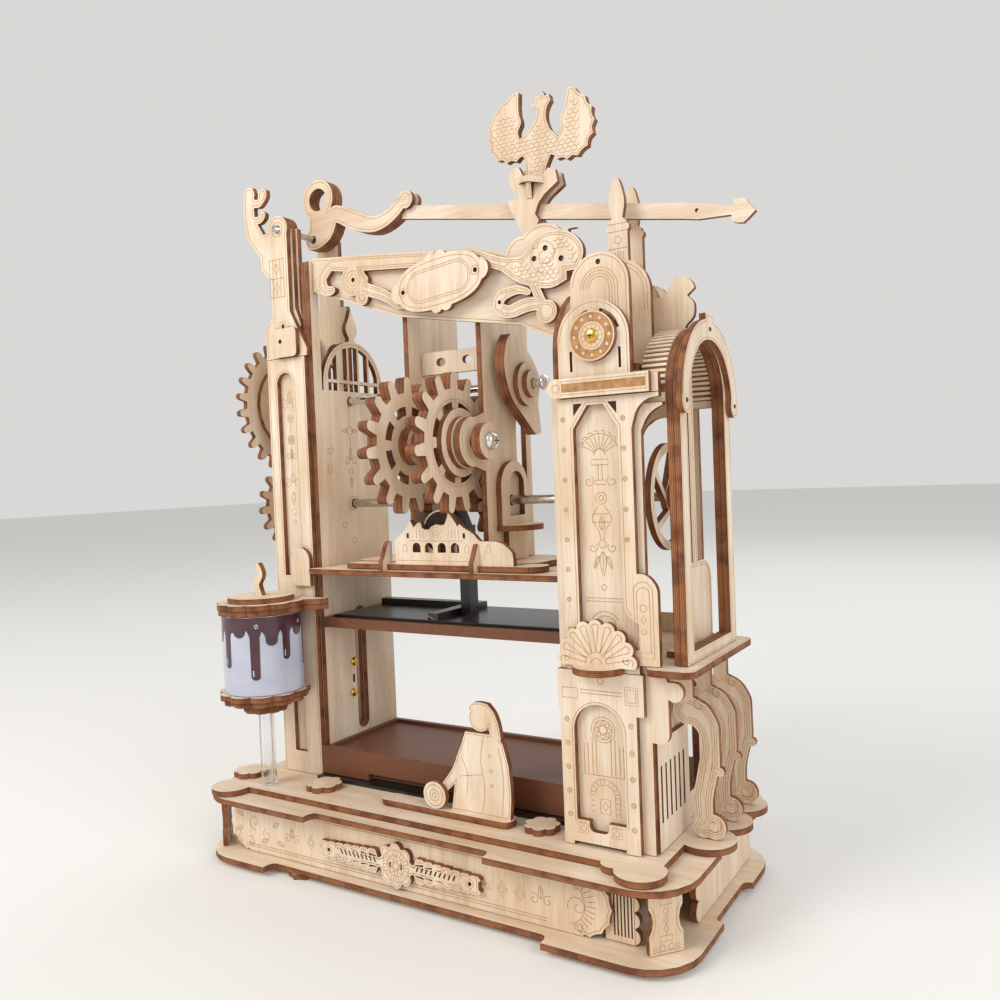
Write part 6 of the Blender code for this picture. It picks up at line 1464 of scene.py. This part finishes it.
def drip_length(degrees):
    """How far the printed ink runs down at an angle round the bucket."""
    longest = BETWEEN_DRIPS + 0.9 * math.sin(math.radians(3 * degrees + 20))
    longest += 0.5 * math.sin(math.radians(7 * degrees))
    for middle, half, length in DRIPS:
        away = abs((degrees - middle + 180) % 360 - 180) / half
        if away < 1:
            longest = max(longest, length - half * MM_PER_DEGREE * (1 - math.sqrt(1 - away ** 2)))
        elif away < 2.0:
            shoulder = max(0.0, min(3.4, length - half * MM_PER_DEGREE - BETWEEN_DRIPS))
            longest = max(longest, BETWEEN_DRIPS + shoulder * (2.0 - away) ** 2)
    return longest


def on_drips(along, height, rise):
    """Rule for the face of the drips, which lies a little over the film."""
    return on_bucket(along, height, rise + 0.15)


solid = bmesh.new()
columns = []
for i in range(COLUMNS):
    degrees = i * 360 / COLUMNS
    along = math.radians(degrees) * BUCKET_RADIUS
    low = DRIPS_TOP - drip_length(degrees)
    section = ((low, 0.0), (low + 0.08, 0.18), (DRIPS_TOP, 0.18), (DRIPS_TOP, 0.0))
    columns.append([solid.verts.new(on_bucket(along, z, rise)) for z, rise in section])
for first, second in zip(columns, columns[1:] + columns[:1]):
    for k in range(4):
        n = (k + 1) % 4
        solid.faces.new([first[k], second[k], second[n], first[n]])
bmesh.ops.recalc_face_normals(solid, faces=solid.faces[:])
from_bmesh("ink_drips", solid, [drip_print], "frame", 60)
# Painted highlights: short white strokes of film colour on the drips stand in for glints of light on the
# glossy ink
glints = []
for k, (middle, half, length) in enumerate(DRIPS):
    along = math.radians(middle - 0.45 * half) * BUCKET_RADIUS
    if length > 16:
        glints.append([(along, 116.6 - length), (along, 119.4 - length)])
    elif k % 2:
        glints.append([(along, 110.6), (along, 111.4)])
engrave("drip_glints", "frame", on_drips, glints, 0.55, bucket_film)
# Painted highlights: white ovals near the top of the drips stand in for glints of light
highlight_ovals = []
for middle, _, _ in DRIPS[::3]:
    along = math.radians(middle + 3) * BUCKET_RADIUS
    highlight_ovals.append([(along - 0.7, 110.7), (along + 0.7, 111.3)])
engrave("drip_highlight_ovals", "frame", on_drips, highlight_ovals, 1.7, bucket_film)

AXLE_TIP = bound("press_axle", max, 0) + BASE_SHIFT
HUB_WIDTH = 4.2
HUB_END = AXLE_TIP - 3.8
profile = [(0, -23.5), (2.2, -23.5), (2.5, -23.2), (2.5, HUB_END), (3.5, HUB_END), (3.8, HUB_END + 0.3)]
profile += [(3.8, HUB_END + 0.9)] + domed(3.8, HUB_END + 1.0, 2.7, 1)[1:]
axle = lathe("press_axle_metal", "press_shaft", "side", *PRESS, profile, chrome, 48)
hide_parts("press_axle")
plates("press_axle_hub", "side", HUB_END - HUB_WIDTH, [ring(*PRESS, 7.6, 48)], [ring(*PRESS, 2.55, 24)],
       HUB_WIDTH, body="press_shaft")
screw_slot("press_axle_slot", "side", *PRESS, HUB_END + 3.66, 1.5, "press_shaft")


def build_rib_tree():
    """Node tree that lays straight ribs side by side along an arc across the model's depth."""
    tree, given = start_tree("ribs_on_arc", (("Geometry", "Geometry"), ("Count", "Int"), ("Radius", "Float"),
                                             ("Start", "Float"), ("Sweep", "Float"), ("Size", "Vector"),
                                             ("Middle", "Vector"), ("Finish", "Material")))
    path = add(tree, "GeometryNodeCurveArc", {},
               {"Resolution": given["Count"], "Radius": given["Radius"], "Start Angle": given["Start"],
                "Sweep Angle": given["Sweep"]})
    spots = add(tree, "GeometryNodeCurveToPoints", {"mode": "EVALUATED"}, {"Curve": path.outputs["Curve"]})
    turn = add(tree, "FunctionNodeAlignRotationToVector", {"axis": "X"}, {"Vector": spots.outputs["Tangent"]})
    bar = add(tree, "GeometryNodeMeshCube", {}, {"Size": given["Size"]})
    spread = add(tree, "GeometryNodeInstanceOnPoints", {},
                 {"Points": spots.outputs["Points"], "Instance": bar.outputs["Mesh"],
                  "Rotation": turn.outputs["Rotation"]})
    real = add(tree, "GeometryNodeRealizeInstances", {}, {"Geometry": spread.outputs["Instances"]})
    placed = add(tree, "GeometryNodeTransform", {"Rotation": (math.pi / 2, 0, math.pi / 2)},
                 {"Geometry": real.outputs["Geometry"], "Translation": given["Middle"]})
    end_tree(tree, placed.outputs["Geometry"], given["Finish"])
    return tree


# Axis of the porch's vault on its side sheets, the middle of its length, and its ribs
VAULT = (-5.2, 198.0)
VAULT_MIDDLE = 105.1
RIB_COUNT = 34
RIB_WIDTH = 1.1
RIB_LENGTH = 9.4
rib_tree = build_rib_tree()
inner = []
for vertex in frame["nodes"]["pavilion_vault"].data.vertices:
    x, y, z = vertex.co
    if z > 0.199 and x * 1000 + BASE_SHIFT > 103:
        inner.append(math.hypot(y * 1000 - VAULT[0], z * 1000 - VAULT[1]))
for name, radius, start, sweep, height in (("outside", 28.4, 14, 152, 0.7),
                                           ("inside", min(inner), 4, 172, 0.6)):
    settings = {"Count": RIB_COUNT, "Radius": radius / 1000, "Start": math.radians(start),
                "Sweep": math.radians(sweep), "Size": (RIB_WIDTH / 1000, height / 1000, RIB_LENGTH / 1000),
                "Middle": lift("side", *VAULT, VAULT_MIDDLE), "Finish": veneer_upright}
    grow("vault_ribs_" + name, bpy.data.meshes.new("seed"), rib_tree, settings, 30)


# ---- Stage, light and camera ----

def build_stage():
    """Pale floor and white surroundings that metal sees as well."""
    mesh = bpy.data.meshes.new("floor")
    mesh.from_pydata([(-6, -6, 0), (6, -6, 0), (6, 6, 0), (-6, 6, 0)], [], [(0, 1, 2, 3)])
    made = material("pale_matt_floor", {"Roughness": 0.85, "Base Color": colour("#E9E8E6")})[0]
    floor = bpy.data.objects.new("floor", mesh)
    mesh.materials.append(made)
    bpy.context.scene.collection.objects.link(floor)
    world = bpy.data.worlds.new("studio")
    world.use_nodes = True
    bpy.context.scene.world = world
    tree = world.node_tree
    light = tree.nodes["Background"]
    light.inputs["Color"].default_value = colour("#F4F4F2")
    light.inputs["Strength"].default_value = 0.74
    white = add(tree, "ShaderNodeBackground", {"Color": colour("#DEDDDB"), "Strength": 0.95})
    path = add(tree, "ShaderNodeLightPath")
    seen = add(tree, "ShaderNodeMath", {"operation": "MAXIMUM"},
               {0: path.outputs["Is Camera Ray"], 1: path.outputs["Is Glossy Ray"]})
    all_seen = add(tree, "ShaderNodeMath", {"operation": "MAXIMUM"},
                   {0: seen.outputs["Value"], 1: path.outputs["Is Transmission Ray"]})
    both = add(tree, "ShaderNodeMixShader", {}, {0: all_seen.outputs["Value"], 1: light.outputs["Background"],
                                                2: white.outputs["Background"]})
    tree.links.new(both.outputs["Shader"], tree.nodes["World Output"].inputs["Surface"])


def area_light(name, place, target, size, power, tint):
    data = bpy.data.lights.new(name, "AREA")
    data.size = size
    data.energy = power
    data.color = colour(tint)[:3]
    lamp = bpy.data.objects.new(name, data)
    lamp.location = place
    lamp.rotation_euler = (Vector(target) - Vector(place)).to_track_quat("-Z", "Y").to_euler()
    bpy.context.scene.collection.objects.link(lamp)


# Width of the camera's sensor, and its focal length in such widths
PICTURE = 36
FOCAL = 0.908


def build_camera():
    """Camera at the photograph's viewing angle."""
    yaw, pitch, roll = math.radians(31.75), math.radians(1.61), math.radians(2.24)
    ahead = Vector((-math.sin(yaw) * math.cos(pitch), math.cos(yaw) * math.cos(pitch), -math.sin(pitch)))
    level = Vector((math.cos(yaw), math.sin(yaw), 0))
    down = ahead.cross(level)
    right = level * math.cos(roll) + down * math.sin(roll)
    below = -level * math.sin(roll) + down * math.cos(roll)
    data = bpy.data.cameras.new("camera")
    data.sensor_width = PICTURE
    data.lens = FOCAL * PICTURE
    camera = bpy.data.objects.new("camera", data)
    turn = Matrix((right, -below, -ahead)).transposed().to_4x4()
    camera.matrix_world = Matrix.Translation(Vector((0.228 - BASE_SHIFT / 1000, -0.3372, 0.1745))) @ turn
    bpy.context.scene.collection.objects.link(camera)
    bpy.context.scene.camera = camera


build_stage()
area_light("key_from_front_left", (-0.55, -1.1, 1.0), (0, 0, 0.15), 0.7, 12, "#FFF9F1")
area_light("fill_from_right", (1.3, -0.5, 0.7), (0, 0, 0.15), 0.9, 8.5, "#F6F8FF")
area_light("back_from_above", (0.2, 1.2, 1.2), (0, 0, 0.15), 0.9, 4, "#FFFFFF")
build_camera()
bpy.context.scene.view_settings.view_transform = "Standard"
